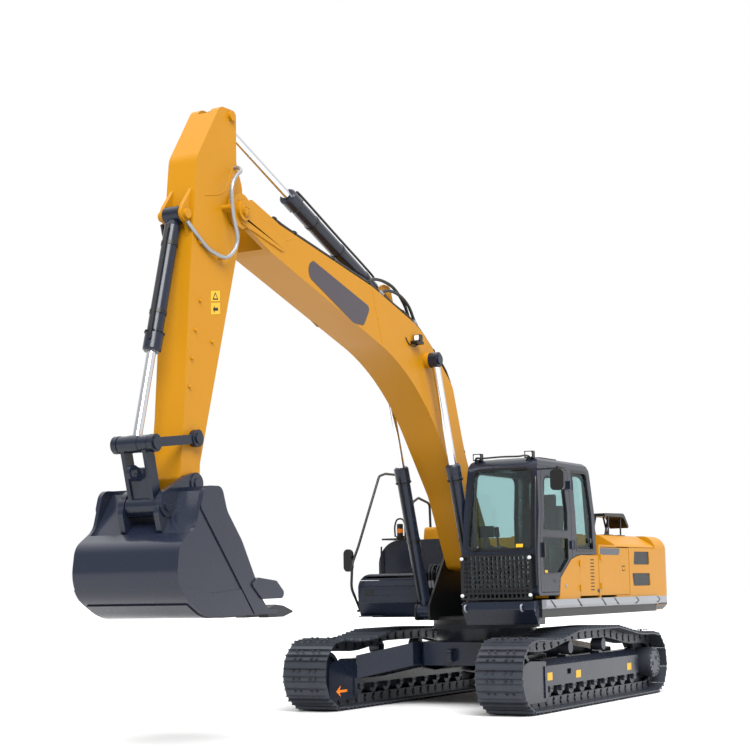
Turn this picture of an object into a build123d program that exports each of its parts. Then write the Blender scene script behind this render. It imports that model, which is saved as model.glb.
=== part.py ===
from build123d import *
import math
import os

os.makedirs("parts", exist_ok=True)

# A crawler excavator of the 36-tonne class. Millimetres, X forward, Y to the cab side, Z up.
# The origin is on the ground under the middle of the slewing ring.

# Fits between pieces
fit = 0.3                # seat between pieces that touch
running_gap = 6          # between pieces that move past each other
panel_gap = 7            # round a door or a lid

# Undercarriage
gauge = 2590
shoe_width = 600
shoe_count = 47
shoe_thickness = 14
grouser_height = 26
pin_depth = 100          # from the ground to the middle of the chain
link_tread = 58          # from the middle of the chain to the rolling face
rail_inner = 70
rail_outer = 110
idler_x = 2030
idler_height = 440
sprocket_x = -1985
sprocket_height = 415
sprocket_teeth = 21
carrier_height = 852     # middle of the chain over the carrier rollers
carrier_places = (570, -520)
roller_count = 9
roller_first = -1500
roller_last = 1290
roller_radius = 95
frame_half = 150         # half the width of a track frame
frame_wall = 32
frame_bottom = 288
frame_shoulder = 525         # where the sloping roof of a track frame starts
frame_ridge = 600
ridge_half = 80
guard_front = 2090           # front edge of the plates beside the idler
guard_low = 115
hub_radius = 198
hub_reach = 262              # from the middle of the track to the face of the final drive

# Slewing ring and turning frame
ring_radius = 690
ring_bore = 560
ring_bottom = 940
ring_split = 1000
ring_top = 1060
deck_bottom = 1100
deck_top = 1300
sill_height = 1190
beam_inner = 246
beam_thickness = 28
base_plate_half = 640
beam_rear_top = 1400
house_half = 1450
house_rear = -2450       # where the counterweight starts
house_front_left = 1600
house_front_right = 1010
tail = -3400

# Boom, arm and bucket pins in the side view
boom_foot = (450, 1850)
boom_length = 6504
boom_slope = 31.93
crank_reach = 3831           # length of the boom that lies behind its upper bend
arm_length = 2913
arm_slope = -73.93
boom_base_pin = (1010, 1180)
boom_cylinder_y = 360
boom_half = 240
arm_half = 172
fork_inner = 178
ear_inner = 178
ear_outer = 236
link_half = 170
rod_eye_half = 60

# Pins and the radius of each
foot_pin_radius = 60
tip_pin_radius = 60
bucket_pin_radius = 50
link_pin_radius = 50
cylinder_pin_radius = 50

# Cab and covers
cab_inner = 460
cab_outer = 1450
cab_rear = -270
cab_front = 1590
cab_floor = 1350
cab_roof = 3010
cab_wall = 60
glass_inset = 20
glass_thickness = 7
door_thickness = 52
door_hinge = (500, 1464.3)
panel_thickness = 42
hinge_inset = 6          # the hinge pins stand this far over the panels beside them
hood_top = 2125
shoulder_height = 1975
shoulder_y = house_half - 250
front_wall_x = -950

# Right side
tank_front = 270
tank_inner = -480
tank_outer = -1440
tank_top = 2100
box_rear = 480
box_inner = -480
box_outer = -1340
box_top = 1655
box_bottom = 1110
lid_bottom = 1570
rail_radius = 17
rail_y = box_outer - rail_radius - 20
rail_pad_top = 2010


def polar(start, length, degrees):
    """The point at a length and an angle from another, in the side view."""
    turn = math.radians(degrees)
    return (start[0] + length * math.cos(turn), start[1] + length * math.sin(turn))


def shifted(pin, dx, dz):
    return (pin[0] + dx, pin[1] + dz)


arm_pin = polar(boom_foot, boom_length, boom_slope)
bucket_pin = polar(arm_pin, arm_length, arm_slope)
boom_rod_pin = shifted(boom_foot, 1550, 2350)
upper_reach = boom_length - crank_reach
arm_base_pin = shifted(arm_pin, -upper_reach - 527, -360)
arm_rod_pin = shifted(arm_pin, 90, 975)
bucket_base_pin = shifted(arm_pin, 820, -170)
side_link_pin = shifted(bucket_pin, -40, 435)
bucket_link_pin = shifted(bucket_pin, 470, -224)
top_link_pin = shifted(bucket_pin, 623, 348)


# Drawing helpers

def drawn(rows):
    """A flat face from rows of (across, up, corner radius)."""
    corners = [(row[0], row[1]) for row in rows]
    return make_face(FilletPolyline(*corners, radius=[row[2] for row in rows], close=True))


def pinned(rows):
    """Rows of (pin, along, up, corner radius) measured from the pins, as rows for a face."""
    return [(pin[0] + dx, pin[1] + dz, radius) for pin, dx, dz, radius in rows]


def side_face(face, y_low, y_high):
    """A face drawn in the side view, carried from y_low to y_high."""
    return extrude(Plane((0, y_high, 0), x_dir=(1, 0, 0), z_dir=(0, -1, 0)) * face, y_high - y_low)


def side_plate(rows, y_low, y_high):
    return side_face(drawn(rows), y_low, y_high)


def front_plate(rows, x_low, x_high):
    """Rows of (y, z, corner radius) carried from x_low to x_high."""
    return extrude(Plane((x_low, 0, 0), x_dir=(0, 1, 0), z_dir=(1, 0, 0)) * drawn(rows), x_high - x_low)


def plan_plate(rows, z_low, z_high):
    """Rows of (x, y, corner radius) carried from z_low to z_high."""
    return extrude(Plane((0, 0, z_low)) * drawn(rows), z_high - z_low)


def block(x_low, x_high, y_low, y_high, z_low, z_high):
    return Pos((x_low + x_high) / 2, (y_low + y_high) / 2, (z_low + z_high) / 2) * Box(
        x_high - x_low, y_high - y_low, z_high - z_low)


def cross_pin(pin, radius, y_low, y_high):
    """A round bar across the machine, centred on a pin of the side view."""
    return side_face(Pos(pin[0], pin[1]) * Circle(radius), y_low, y_high)


def both_sides(shape):
    return shape + mirror(shape, about=Plane.XZ)


def turned(rows, start, toward, y):
    """Rows of (distance from start, radius) turned about the line from start toward a point."""
    line = Plane((start[0], y, start[1]), x_dir=(toward[0] - start[0], 0, toward[1] - start[1]), z_dir=(0, -1, 0))
    return line * revolve(make_face(Polyline(*rows, close=True)), Axis.X)


def distance(start, end):
    return math.hypot(end[0] - start[0], end[1] - start[1])


def save(name, shape):
    export_step(shape, f"parts/{name}.step")


# Tracks: the chain runs round the idler, over two carrier rollers and round the sprocket.

idler_pin = (idler_x, idler_height)
sprocket_pin = (sprocket_x, sprocket_height)
idler_pitch = idler_height - pin_depth
sprocket_pitch = sprocket_height - pin_depth


def wheel_corner(centre, radius, side, sag):
    """The corner over a wheel between its upright edge and the run from the sag point."""
    across = abs(centre[0] - sag[0])
    rise = math.asin(radius / distance(centre, sag)) + math.atan2(centre[1] - sag[1], across)
    return (centre[0] + side * radius, sag[1] + math.tan(rise) * (across + radius), radius - 0.5)


def chain_loop(out):
    """The loop of the chain, or one that lies outside it by a distance."""
    front_sag = (1350, 738 + out)
    rear_sag = (-1400, 736 + out)
    top = carrier_height + out
    front = idler_pitch + out
    rear = sprocket_pitch + out
    rows = [
        (idler_x + front, pin_depth - out, front - 0.5),
        wheel_corner(idler_pin, front, 1, front_sag),
        (*front_sag, 2500 - out),
        (carrier_places[0] + 100, top, 900 + out),
        (carrier_places[1] - 100, top, 900 + out),
        (*rear_sag, 2500 - out),
        wheel_corner(sprocket_pin, rear, -1, rear_sag),
        (sprocket_x - rear, pin_depth - out, rear - 0.5),
    ]
    return FilletPolyline(*[(row[0], row[1]) for row in rows], radius=[row[2] for row in rows], close=True)


chain_line = chain_loop(0)
shoe_pitch = chain_line.length / shoe_count
plate_inner = pin_depth - grouser_height - shoe_thickness
plate_outer = plate_inner + shoe_thickness
shoe_half = shoe_pitch / 2 - 4

# One shoe in the side view: (along the chain, above the middle of the chain)
shoe_rows = [
    (-shoe_half, plate_inner + 4),
    (-shoe_half + 6, pin_depth),
    (-shoe_half + 20, plate_outer),
    (-9, plate_outer),
    (0, pin_depth),
    (9, plate_outer),
    (shoe_half - 20, plate_outer),
    (shoe_half - 6, pin_depth),
    (shoe_half, plate_inner + 4),
]


def joint(number, height):
    """The place over a chain pin, at a height outward from the middle of the chain."""
    along = (number % shoe_count) * shoe_pitch
    middle = chain_line.position_at(along, PositionMode.LENGTH)
    ahead = chain_line.tangent_at(along, PositionMode.LENGTH)
    return (middle.X + ahead.Y * height, middle.Y - ahead.X * height)


def link_ring(height):
    """The face inside the straight links, from pin to pin."""
    return make_face(Polyline(*[joint(number, height) for number in range(shoe_count)], close=True))


def shoe_outline():
    """The corner points of every shoe, each laid flat on its link."""
    points = []
    for number in range(shoe_count):
        start = joint(number, 0)
        end = joint(number + 1, 0)
        along_x, along_z = (end[0] - start[0]) / distance(start, end), (end[1] - start[1]) / distance(start, end)
        points += [((start[0] + end[0]) / 2 + along_x * s + along_z * h,
                    (start[1] + end[1]) / 2 + along_z * s - along_x * h) for s, h in shoe_rows]
    return points


shoe_face = make_face(Polyline(*shoe_outline(), close=True)) - link_ring(plate_inner)
rail_face = link_ring(plate_inner + 5) - link_ring(-link_tread)
tread_idler = (idler_pitch - link_tread) * math.cos(shoe_pitch / (2 * idler_pitch))
roller_z = pin_depth + link_tread + roller_radius
carrier_radius = 75
carrier_z = carrier_height - link_tread - carrier_radius - 7
roller_step = (roller_last - roller_first) / (roller_count - 1)
roller_places = [roller_first + number * roller_step for number in range(roller_count)]
frame_rear_x = sprocket_x + sprocket_pitch + 30
frame_front_x = idler_x - idler_pitch - 240
yoke_inner = rail_outer + 12


def sprocket_face():
    """The toothed rim: each tooth is four points between a root and a tip circle."""
    root = sprocket_pitch - 22
    tip = sprocket_pitch + 26
    step = 360 / sprocket_teeth
    points = []
    for tooth in range(sprocket_teeth):
        for share, radius in ((-0.34, root), (-0.16, tip), (0.16, tip), (0.34, root)):
            points.append(polar(sprocket_pin, radius, (tooth + share) * step))
    return make_face(Polyline(*points, close=True))


for side, sign in (("l", 1), ("r", -1)):
    middle_y = sign * gauge / 2

    def placed(shape):
        """A piece drawn about the middle of a left-hand track, put on this side."""
        return Pos(0, middle_y, 0) * (shape if sign > 0 else mirror(shape, about=Plane.XZ))

    rails = side_face(rail_face, rail_inner, rail_outer)
    save(f"track_{side}", placed(side_face(shoe_face, -shoe_width / 2, shoe_width / 2) + both_sides(rails)))

    # The frame is a box with a sloping roof, open below for the rollers, with guard plates
    # that hold the idler in front and a plate behind that holds the travel motor.
    frame = front_plate([
        (-frame_half, frame_bottom, 0),
        (frame_half, frame_bottom, 0),
        (frame_half, frame_shoulder, 0),
        (ridge_half, frame_ridge, 0),
        (-ridge_half, frame_ridge, 0),
        (-frame_half, frame_shoulder, 0),
    ], frame_rear_x, frame_front_x)
    channel = block(frame_rear_x - 5, frame_front_x + 5, frame_wall - frame_half, frame_half - frame_wall,
                    frame_bottom - 5, roller_z + roller_radius + 17)
    yoke = side_plate([
        (frame_front_x - 20, guard_low, 30),
        (guard_front, guard_low, 120),
        (guard_front, idler_height + 120, 110),
        (idler_x - 150, frame_ridge, 60),
        (frame_front_x - 20, frame_ridge - 20, 0),
    ], yoke_inner, frame_half)
    yoke += side_plate([
        (frame_front_x - 20, guard_low + 40, 0),
        (frame_front_x + 45, guard_low + 40, 0),
        (frame_front_x + 45, frame_shoulder, 0),
        (frame_front_x - 20, frame_shoulder, 0),
    ], frame_half - 1, frame_half + 14)
    motor_plate = side_plate([
        (frame_rear_x + 40, frame_bottom, 0),
        (sprocket_x - 190, sprocket_height - 190, 150),
        (sprocket_x - 190, sprocket_height + 190, 150),
        (frame_rear_x + 40, frame_shoulder - 2, 0),
    ], -frame_half, -yoke_inner + 52)
    motor = cross_pin(sprocket_pin, 145, -330, -frame_half)
    slot = side_plate([(680, 400, 18), (800, 400, 18), (800, 465, 18), (680, 465, 18)],
                      frame_half - frame_wall - 5, frame_half + 5)
    carrier_posts = Part() + [
        block(x - 45, x + 45, -60, 60, frame_ridge - 5, carrier_z - carrier_radius - 12)
        + block(x - 30, x + 30, -60, -rail_inner + 32 - fit, frame_ridge - 5, carrier_z + 40)
        for x in carrier_places]
    save(f"track_frame_{side}", placed(
        (frame - channel) + both_sides(yoke) + motor_plate + motor + carrier_posts - slot))

    idler = (cross_pin(idler_pin, tread_idler - fit, -rail_outer, rail_outer)
             + cross_pin(idler_pin, tread_idler + 22, -rail_inner + running_gap, rail_inner - running_gap)
             + cross_pin(idler_pin, 70, -yoke_inner + fit, yoke_inner - fit))
    dish = both_sides(cross_pin(idler_pin, tread_idler - 45, 60, rail_outer + 5)
                      - cross_pin(idler_pin, 110, 55, rail_outer + 10))
    save(f"idler_{side}", placed(idler - dish))

    sprocket = (side_face(sprocket_face(), -32, 32)
                + cross_pin(sprocket_pin, 120, -yoke_inner + 52 + fit, -30)
                + cross_pin(sprocket_pin, hub_radius, 30, hub_reach - 20)
                + cross_pin(sprocket_pin, hub_radius - 12, hub_reach - 21, hub_reach))
    save(f"sprocket_{side}", placed(sprocket))

    collar = [
        (-52, frame_bottom, 0),
        (-40, roller_z - 38, 20),
        (40, roller_z - 38, 20),
        (52, frame_bottom, 0),
    ]
    rollers = Part()
    for x in roller_places:
        roller = cross_pin((x, roller_z), roller_radius - fit, -rail_outer, rail_outer)
        shaft = cross_pin((x, roller_z), 32, rail_outer - 5, frame_half - frame_wall + 5)
        foot = side_plate([(x + dx, z, radius) for dx, z, radius in collar], frame_half - frame_wall, frame_half)
        rollers += roller + both_sides(shaft + foot)
    for x in carrier_places:
        rollers += (cross_pin((x, carrier_z), carrier_radius - fit, -rail_inner + 32, rail_outer))
    save(f"rollers_{side}", placed(rollers))


# Carbody: a low box under the ring, with four legs that slope down to the track frames

leg_inner_y = 540
leg_outer_y = gauge / 2 - frame_half
carbody_bottom = 500
carbody_top = 785


def leg_section(y, x_low, x_high, z_low, z_high):
    plane = Plane((0, y, 0), x_dir=(1, 0, 0), z_dir=(0, -1, 0))
    return plane * Pos((x_low + x_high) / 2, (z_low + z_high) / 2) * Rectangle(x_high - x_low, z_high - z_low)


carbody = plan_plate([(-1000, -420, 60), (-700, -600, 60), (700, -600, 60), (1000, -420, 60),
                      (1000, 420, 60), (700, 600, 60), (-700, 600, 60), (-1000, 420, 60)],
                     carbody_bottom, carbody_top)
leg = loft([leg_section(leg_inner_y, 340, 1040, carbody_bottom, carbody_top),
            leg_section(leg_outer_y, 720, 1430, 350, 640)])
legs = leg + mirror(leg, about=Plane.YZ)
carbody += both_sides(legs)
carbody += Pos(0, 0, (carbody_top + ring_bottom) / 2) * Cylinder(ring_radius - 40, ring_bottom - carbody_top)
tow_eye_x = 1000
tow_eye = (tow_eye_x + 60, carbody_bottom + 130)
tow_lug = side_plate([(tow_eye_x - 10, tow_eye[1] - 80, 0), (tow_eye[0] + 60, tow_eye[1] - 80, 60),
                      (tow_eye[0] + 60, tow_eye[1] + 80, 60), (tow_eye_x - 10, tow_eye[1] + 80, 0)], -30, 30)
carbody += tow_lug - cross_pin(tow_eye, 32, -40, 40)
save("carbody", carbody)

ring = Cylinder(ring_radius, ring_split - ring_bottom) - Cylinder(ring_bore, ring_split - ring_bottom + 2)
save("slewing_ring", Pos(0, 0, (ring_split + ring_bottom) / 2) * ring)

# Turning frame: base plate, two main beams, cylinder brackets, decks and sills

beam_outer = beam_inner + beam_thickness
cab_side_start = cab_inner + 10
upper_ring = Pos(0, 0, (ring_split + ring_top) / 2) * Cylinder(ring_radius, ring_top - ring_split - 2 * fit)
beam = side_plate([
    (house_rear, ring_top, 0),
    (boom_base_pin[0] + 110, ring_top, 60),
    (boom_base_pin[0] + 110, boom_base_pin[1] + 70, 90),
    (boom_foot[0] + 160, boom_foot[1] + 80, 150),
    (boom_foot[0] - 130, boom_foot[1] + 150, 150),
    (-300, 1500, 200),
    (-1100, beam_rear_top, 200),
    (house_rear, beam_rear_top, 0),
], beam_inner, beam_outer)
bracket = side_plate([
    (boom_base_pin[0] - 160, ring_top, 0),
    (boom_base_pin[0] + 110, ring_top, 60),
    (boom_base_pin[0] + 110, boom_base_pin[1] + 95, 90),
    (boom_base_pin[0] - 110, boom_base_pin[1] + 95, 90),
], boom_cylinder_y + 86, boom_cylinder_y + 108)
foot_pin = cross_pin(boom_foot, foot_pin_radius, -beam_outer - 25, beam_outer + 25)
base_pin = cross_pin(boom_base_pin, cylinder_pin_radius, beam_outer - 5, boom_cylinder_y + 120)
base_plate = plan_plate([
    (house_rear, -base_plate_half, 0),
    (700, -base_plate_half, 150),
    (boom_base_pin[0] - 130, -boom_cylinder_y - 108, 40),
    (boom_base_pin[0] - 130, boom_cylinder_y + 108, 40),
    (700, base_plate_half, 150),
    (house_rear, base_plate_half, 0),
], ring_top - fit, deck_bottom)
left_deck = (block(house_rear, cab_front - 110, cab_side_start, house_half - 10, deck_bottom - 10, deck_top)
             - block(house_rear + 60, 500, cab_side_start + 60, house_half - 60, deck_bottom + 30, deck_top + 5)
             + block(house_rear + 100, 480, beam_outer + fit, cab_side_start + 5, deck_bottom - 10,
                     deck_bottom + 60))
left_deck -= cross_pin(boom_base_pin, cylinder_pin_radius + 6, cab_side_start - 5, boom_cylinder_y + 126)
right_deck = (block(house_rear, box_rear - 5, 10 - house_half, -cab_side_start, deck_bottom - 10, deck_top)
              - block(house_rear + 60, front_wall_x, 60 - house_half, -cab_side_start - 60, deck_bottom + 30,
                      deck_top + 5)
              + block(house_rear + 100, 480, -cab_side_start - 5, -beam_outer - fit, deck_bottom - 10,
                      deck_bottom + 60))
front_sill = side_plate([
    (cab_front - 112, sill_height + 100, 0),
    (cab_front + 50, sill_height + 100, 20),
    (cab_front + 60, sill_height, 20),
    (cab_front + 20, sill_height - 60, 20),
    (cab_front - 60, ring_split + 12, 20),
    (cab_front - 260, ring_split + 12, 20),
    (cab_front - 260, deck_bottom, 0),
], cab_side_start, house_half - 40)
cab_mounts = Part() + [
    Pos(x, y, (deck_top + cab_floor) / 2 - 10) * Cylinder(60, cab_floor - deck_top + 20 - 2 * fit)
    for x in (cab_rear + 860, cab_front - 180) for y in (cab_inner + 140, cab_outer - 240)]
save("turning_frame", upper_ring + base_plate + both_sides(beam + bracket + base_pin) + foot_pin)
plate_seat = block(house_rear - 5, 900, -base_plate_half - fit, base_plate_half + fit, ring_top, deck_bottom + fit)
save("side_decks", left_deck + right_deck + cab_mounts - plate_seat)
deck_seat = block(cab_front - 300, cab_front - 110 + fit, cab_side_start - 5, house_half, deck_bottom - 10 - fit,
                  deck_top + 5)
save("front_sill", front_sill - deck_seat)

skirt_rows = [
    (house_half - 10 + fit, sill_height, 0),
    (house_half + 30, sill_height, 15),
    (house_half + 48, sill_height + 40, 20),
    (house_half + 48, deck_top, 8),
    (house_half - 10 + fit, deck_top, 0),
]
left_skirt = front_plate(skirt_rows, house_rear, cab_front - 110)
right_skirt = mirror(front_plate(skirt_rows, house_rear, box_rear - 5), about=Plane.XZ)
save("side_skirts", left_skirt + right_skirt)

# Counterweight: a heavy block whose rear follows the tail swing, rounded on top

counterweight = plan_plate([
    (house_rear - fit, -house_half, 0),
    (house_rear - fit, house_half, 0),
    (tail + 215, house_half, 430),
    (tail, 0, 3600),
    (tail + 215, -house_half, 430),
], deck_bottom, hood_top)
rim = [edge for edge in counterweight.edges().filter_by_position(Axis.Z, hood_top - 1, hood_top + 1)
       if edge.center().X < house_rear - 10]
counterweight = fillet(rim, 190)
sole = [edge for edge in counterweight.edges().filter_by_position(Axis.Z, deck_bottom - 1, deck_bottom + 1)
        if edge.center().X < house_rear - 10]
save("counterweight", chamfer(sole, 70))


# Cab: the side and the front outlines crossed make the rounded body

def cab_block(inset):
    """The cab's body, drawn in by an inset on every side."""
    side_rows = [
        (cab_rear, cab_floor, 50),
        (cab_front - 10, cab_floor, 50),
        (cab_front, 1860, 400),
        (cab_front - 165, cab_roof, 191),
        (cab_rear + 70, cab_roof, 171),
        (cab_rear, 1950, 300),
    ]
    front_rows = [
        (cab_inner, cab_floor, 0),
        (cab_outer, cab_floor, 0),
        (cab_outer, 2350, 400),
        (cab_outer - 42, cab_roof - 95, 0),
        (cab_outer - 58, cab_roof - 42, 0),
        (cab_outer - 92, cab_roof - 10, 0),
        (cab_outer - 150, cab_roof, 0),
        (cab_inner + 140, cab_roof, 0),
        (cab_inner + 80, cab_roof - 10, 0),
        (cab_inner + 44, cab_roof - 42, 0),
        (cab_inner + 30, cab_roof - 95, 0),
        (cab_inner, 2350, 400),
    ]
    across = offset(drawn(side_rows), -inset) if inset else drawn(side_rows)
    along = offset(drawn(front_rows), -inset) if inset else drawn(front_rows)
    front_view = Plane((cab_rear - 100, 0, 0), x_dir=(0, 1, 0), z_dir=(1, 0, 0))
    return side_face(across, cab_inner, cab_outer) & extrude(front_view * along, cab_front - cab_rear + 300)


corner_rows = [
    (cab_rear - 60, deck_top, 0),
    (965, deck_top, 0),
    (915, 1560, 20),
    (560, 1790, 20),
    (300, 1848, 20),
    (cab_rear - 60, 1848, 0),
]
door_rows = [
    (door_hinge[0] + 22, 1812, 10),
    (door_hinge[0] + 22, 2890, 60),
    (1345, 2890, 160),
    (1500, 2050, 300),
    (1515, 1385, 40),
    (975, 1385, 20),
    (925, 1575, 20),
]
windscreen_rows = [(530, 1905, 60), (1372, 1905, 60), (1350, 2870, 110), (565, 2870, 110)]
lower_screen_rows = [(530, 1435, 40), (1372, 1435, 40), (1372, 1835, 40), (530, 1835, 40)]
quarter_rows = [(385, 1900, 40), (385, 2880, 60), (-95, 2880, 80), (-175, 1900, 40)]
inner_side_rows = [(60, 1900, 60), (1380, 1900, 60), (1270, 2840, 100), (60, 2840, 100)]
rear_rows = [(570, 1950, 60), (1340, 1950, 60), (1320, 2850, 100), (590, 2850, 100)]
door_upper_rows = [(645, 2120, 40), (1395, 2120, 40), (1275, 2800, 150), (645, 2800, 50)]
door_lower_rows = [(645, 1775, 30), (905, 1610, 30), (1410, 1600, 40), (1405, 2050, 30), (645, 2050, 30)]


def window(rows, gap, low, high, view):
    """The prism that cuts a window or, drawn in by a gap, its pane."""
    face = offset(drawn(rows), -gap) if gap else drawn(rows)
    if view == "side":
        return side_face(face, low, high)
    return extrude(Plane((low, 0, 0), x_dir=(0, 1, 0), z_dir=(1, 0, 0)) * face, high - low)


cab_windows = [
    (windscreen_rows, cab_front - 400, cab_front + 100, "front"),
    (lower_screen_rows, cab_front - 400, cab_front + 100, "front"),
    (quarter_rows, cab_outer - 200, cab_outer + 50, "side"),
    (inner_side_rows, cab_inner - 50, cab_inner + 200, "side"),
    (rear_rows, cab_rear - 100, cab_rear + 200, "front"),
]
door_windows = [
    (door_upper_rows, cab_outer - 200, cab_outer + 50, "side"),
    (door_lower_rows, cab_outer - 200, cab_outer + 50, "side"),
]
cab_body = cab_block(0)
pane_layer = cab_block(glass_inset) - cab_block(glass_inset + glass_thickness)
recess_y = cab_outer - 72
corner_recess = side_plate([(x, z, 0) for x, z, _ in corner_rows], recess_y, cab_outer + 10)
inner_wall = side_plate([(cab_rear + 8, cab_floor + 5, 0), (980, cab_floor + 5, 0), (935, 1590, 0),
                         (570, 1815, 0), (310, 1873, 0), (cab_rear + 8, 1873, 0)], recess_y - 40, recess_y)
cab_shell = cab_body - cab_block(cab_wall) - corner_recess + inner_wall
cab_shell -= side_plate(door_rows, cab_outer - 150, cab_outer + 50)
for rows, low, high, view in cab_windows:
    cab_shell -= window(rows, 0, low, high, view)
save("cab_shell", cab_shell.solids().sort_by(SortBy.VOLUME)[-1])
save("cab_glass", Part() + [pane_layer & window(rows, fit, low, high, view)
                            for rows, low, high, view in cab_windows])

door_face = offset(drawn(door_rows), -panel_gap)
cab_door = (cab_body - cab_block(door_thickness)) & side_face(door_face, cab_outer - 150, cab_outer + 50)
for rows, low, high, view in door_windows:
    cab_door -= window(rows, 0, low, high, view)
for z in (1960, 2700):
    cab_door += (Pos(door_hinge[0], door_hinge[1], z) * Cylinder(14, 110)
                 + block(door_hinge[0], door_hinge[0] + 70, cab_outer + 8, door_hinge[1] + 6, z - 50, z + 50)
                 + block(door_hinge[0] + 40, door_hinge[0] + 70, cab_outer - 50, door_hinge[1], z - 50, z + 50))
save("cab_door", cab_door)
save("cab_door_glass", Part() + [pane_layer & window(rows, fit, low, high, view)
                                 for rows, low, high, view in door_windows])

# Seat and consoles inside the cab
seat_floor = cab_floor + cab_wall
seat_y = (cab_inner + cab_outer) / 2
seat = (block(330, 760, seat_y - 200, seat_y + 200, seat_floor + fit, seat_floor + 280)
        + side_plate([(280, seat_floor + 280, 20), (820, seat_floor + 290, 60), (840, seat_floor + 420, 60),
                      (420, seat_floor + 400, 60), (300, seat_floor + 1060, 60), (160, seat_floor + 1040, 60)],
                     seat_y - 250, seat_y + 250)
        + side_plate([(225, seat_floor + 1030, 30), (205, seat_floor + 1210, 40), (115, seat_floor + 1200, 40),
                      (130, seat_floor + 1020, 30)], seat_y - 130, seat_y + 130))
save("operator_seat", seat)
console = side_plate([(330, seat_floor + fit, 0), (900, seat_floor + fit, 30), (960, seat_floor + 560, 60),
                      (330, seat_floor + 480, 60)], 0, 110)
lever = turned([(0, 0), (0, 14), (170, 14), (170, 32), (290, 32), (300, 0)],
               (900, seat_floor + 500), (960, seat_floor + 800), 55)
armrest = console + lever
save("control_consoles", Pos(0, seat_y - 385, 0) * armrest + Pos(0, seat_y + 262, 0) * armrest)

# Guard of crossed bars in front of the lower screen
guard_x = cab_front + 62
guard_bottom = 1310
guard_top = 1842
guard_left = cab_outer - 55
guard_right = cab_inner + 6
guard_bar = 10
bar_depth = 7
upright_count = 15
rail_count = 9
guard_frame = (front_plate([(guard_right, guard_bottom, 12), (guard_left, guard_bottom, 12),
                            (guard_left, guard_top, 12), (guard_right, guard_top, 12)],
                           guard_x - bar_depth, guard_x + bar_depth)
               - front_plate([(guard_right + 45, guard_bottom + 22, 4), (guard_left - 35, guard_bottom + 22, 4),
                              (guard_left - 35, guard_top - 22, 4), (guard_right + 45, guard_top - 22, 4)],
                             guard_x - 20, guard_x + 20))
for number in range(1, upright_count):
    y = guard_right + 45 + number * (guard_left - guard_right - 80) / upright_count
    guard_frame += block(guard_x - bar_depth, guard_x, y - guard_bar, y + guard_bar,
                         guard_bottom + 20, guard_top - 20)
for number in range(1, rail_count):
    z = guard_bottom + 22 + number * (guard_top - guard_bottom - 44) / rail_count
    guard_frame += block(guard_x, guard_x + bar_depth, guard_right + 43, guard_left - 33,
                         z - guard_bar, z + guard_bar)
cab_face = Pos(fit, 0, 0) * cab_block(0)
for y in (guard_right + 24, guard_left - 19):
    for z in (1370, 1800):
        guard_frame += block(cab_front - 30, guard_x - bar_depth + 1, y - 16, y + 16, z, z + 32) - cab_face
save("cab_guard", guard_frame)


# Engine covers: one outline across the machine, cut into walls, hood and doors

def cover_outline(inset):
    """The cross-section of the engine covers, drawn in by an inset."""
    return [
        (inset - house_half, deck_top + fit, 0),
        (inset - house_half, shoulder_height, 90),
        (inset - shoulder_y, hood_top - inset, 160),
        (shoulder_y - inset, hood_top - inset, 160),
        (house_half - inset, shoulder_height, 90),
        (house_half - inset, deck_top + fit, 0),
    ]


cover_wall = panel_thickness
hood_rear = house_rear + 20
hood_front = front_wall_x - 50
hood_seam = shoulder_height - 25
left_door = (-1440, -397)
right_door = (-1900, -1000)
louvre_door = (-350, 300)
door_low = deck_top + 30
louvre_high = 1838

covers = front_plate(cover_outline(0), house_rear, front_wall_x)
covers -= front_plate([(y, z - 40 if z < deck_top + 5 else z, r) for y, z, r in cover_outline(cover_wall)],
                      house_rear - 5, front_wall_x - cover_wall)
covers -= block(house_rear - 5, hood_front + 8, -house_half - 5, house_half + 5, hood_seam, hood_top + 5)
covers -= block(front_wall_x - 50, front_wall_x + 5, -beam_outer - 8, beam_outer + 8, deck_top - 5, 1560)
left_bay = (block(front_wall_x - 1, louvre_door[0], house_half - 300, house_half, deck_top + fit, shoulder_height)
            - block(front_wall_x - 5, louvre_door[0] - cover_wall, house_half - 300 + cover_wall,
                    house_half + 5, deck_top - 5, shoulder_height - cover_wall))
corner_panel = side_plate([
    (louvre_door[1] + 8, deck_top + fit, 0),
    (958, deck_top + fit, 0),
    (908, 1555, 20),
    (555, 1783, 20),
    (louvre_door[1] + 8, louvre_high - 4, 30),
], recess_y + panel_gap, house_half)
left_wall_cut = block(left_door[0], left_door[1], house_half - cover_wall - 5, house_half + 5, door_low - 5,
                      hood_seam)
right_wall_cut = block(right_door[0], right_door[1], -house_half - 5, cover_wall + 5 - house_half, door_low - 5,
                       shoulder_height - 75)
raised_cover = side_plate([(-560, tank_top + fit, 0), (-560, 2265, 60), (-130, 2275, 60),
                           (-95, tank_top + fit, 0)], -950, -640)
covers = covers + left_bay + corner_panel - left_wall_cut - right_wall_cut
grille_rows = [
    # front, rear, bottom, top, rise of the front edge
    (-1600, -2200, 1725, 1900, 40),
    (-1580, -2215, 1440, 1610, -40),
]
for front, rear, low, high, rise in grille_rows:
    covers -= side_plate([(front, low, 20), (front - rise, high, 20), (rear, high, 20), (rear - 20, low, 20)],
                         house_half - 18, house_half + 5)
save("engine_covers", covers)
save("engine_block", block(-2250, -1250, -620, 620, beam_rear_top + fit, 1900))

hood = front_plate(cover_outline(0), hood_rear, hood_front) - front_plate(cover_outline(30), hood_rear + 30,
                                                                          hood_front - 30)
hood &= block(hood_rear - 5, hood_front + 5, -house_half - 5, house_half + 5, hood_seam + panel_gap, hood_top + 5)
for y in (-900, 0, 900):
    hood += (cross_pin((hood_front + 8 + hinge_inset, hood_top + 9 + fit), 9, y - 60, y + 60)
             + block(hood_front - 50, hood_front + 8 + hinge_inset, y - 55, y + 55, hood_top + 2, hood_top + 14)
             + block(hood_front - 50, hood_front - 5, y - 55, y + 55, hood_top - 10, hood_top + 3))
save("engine_hood", hood)

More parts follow.
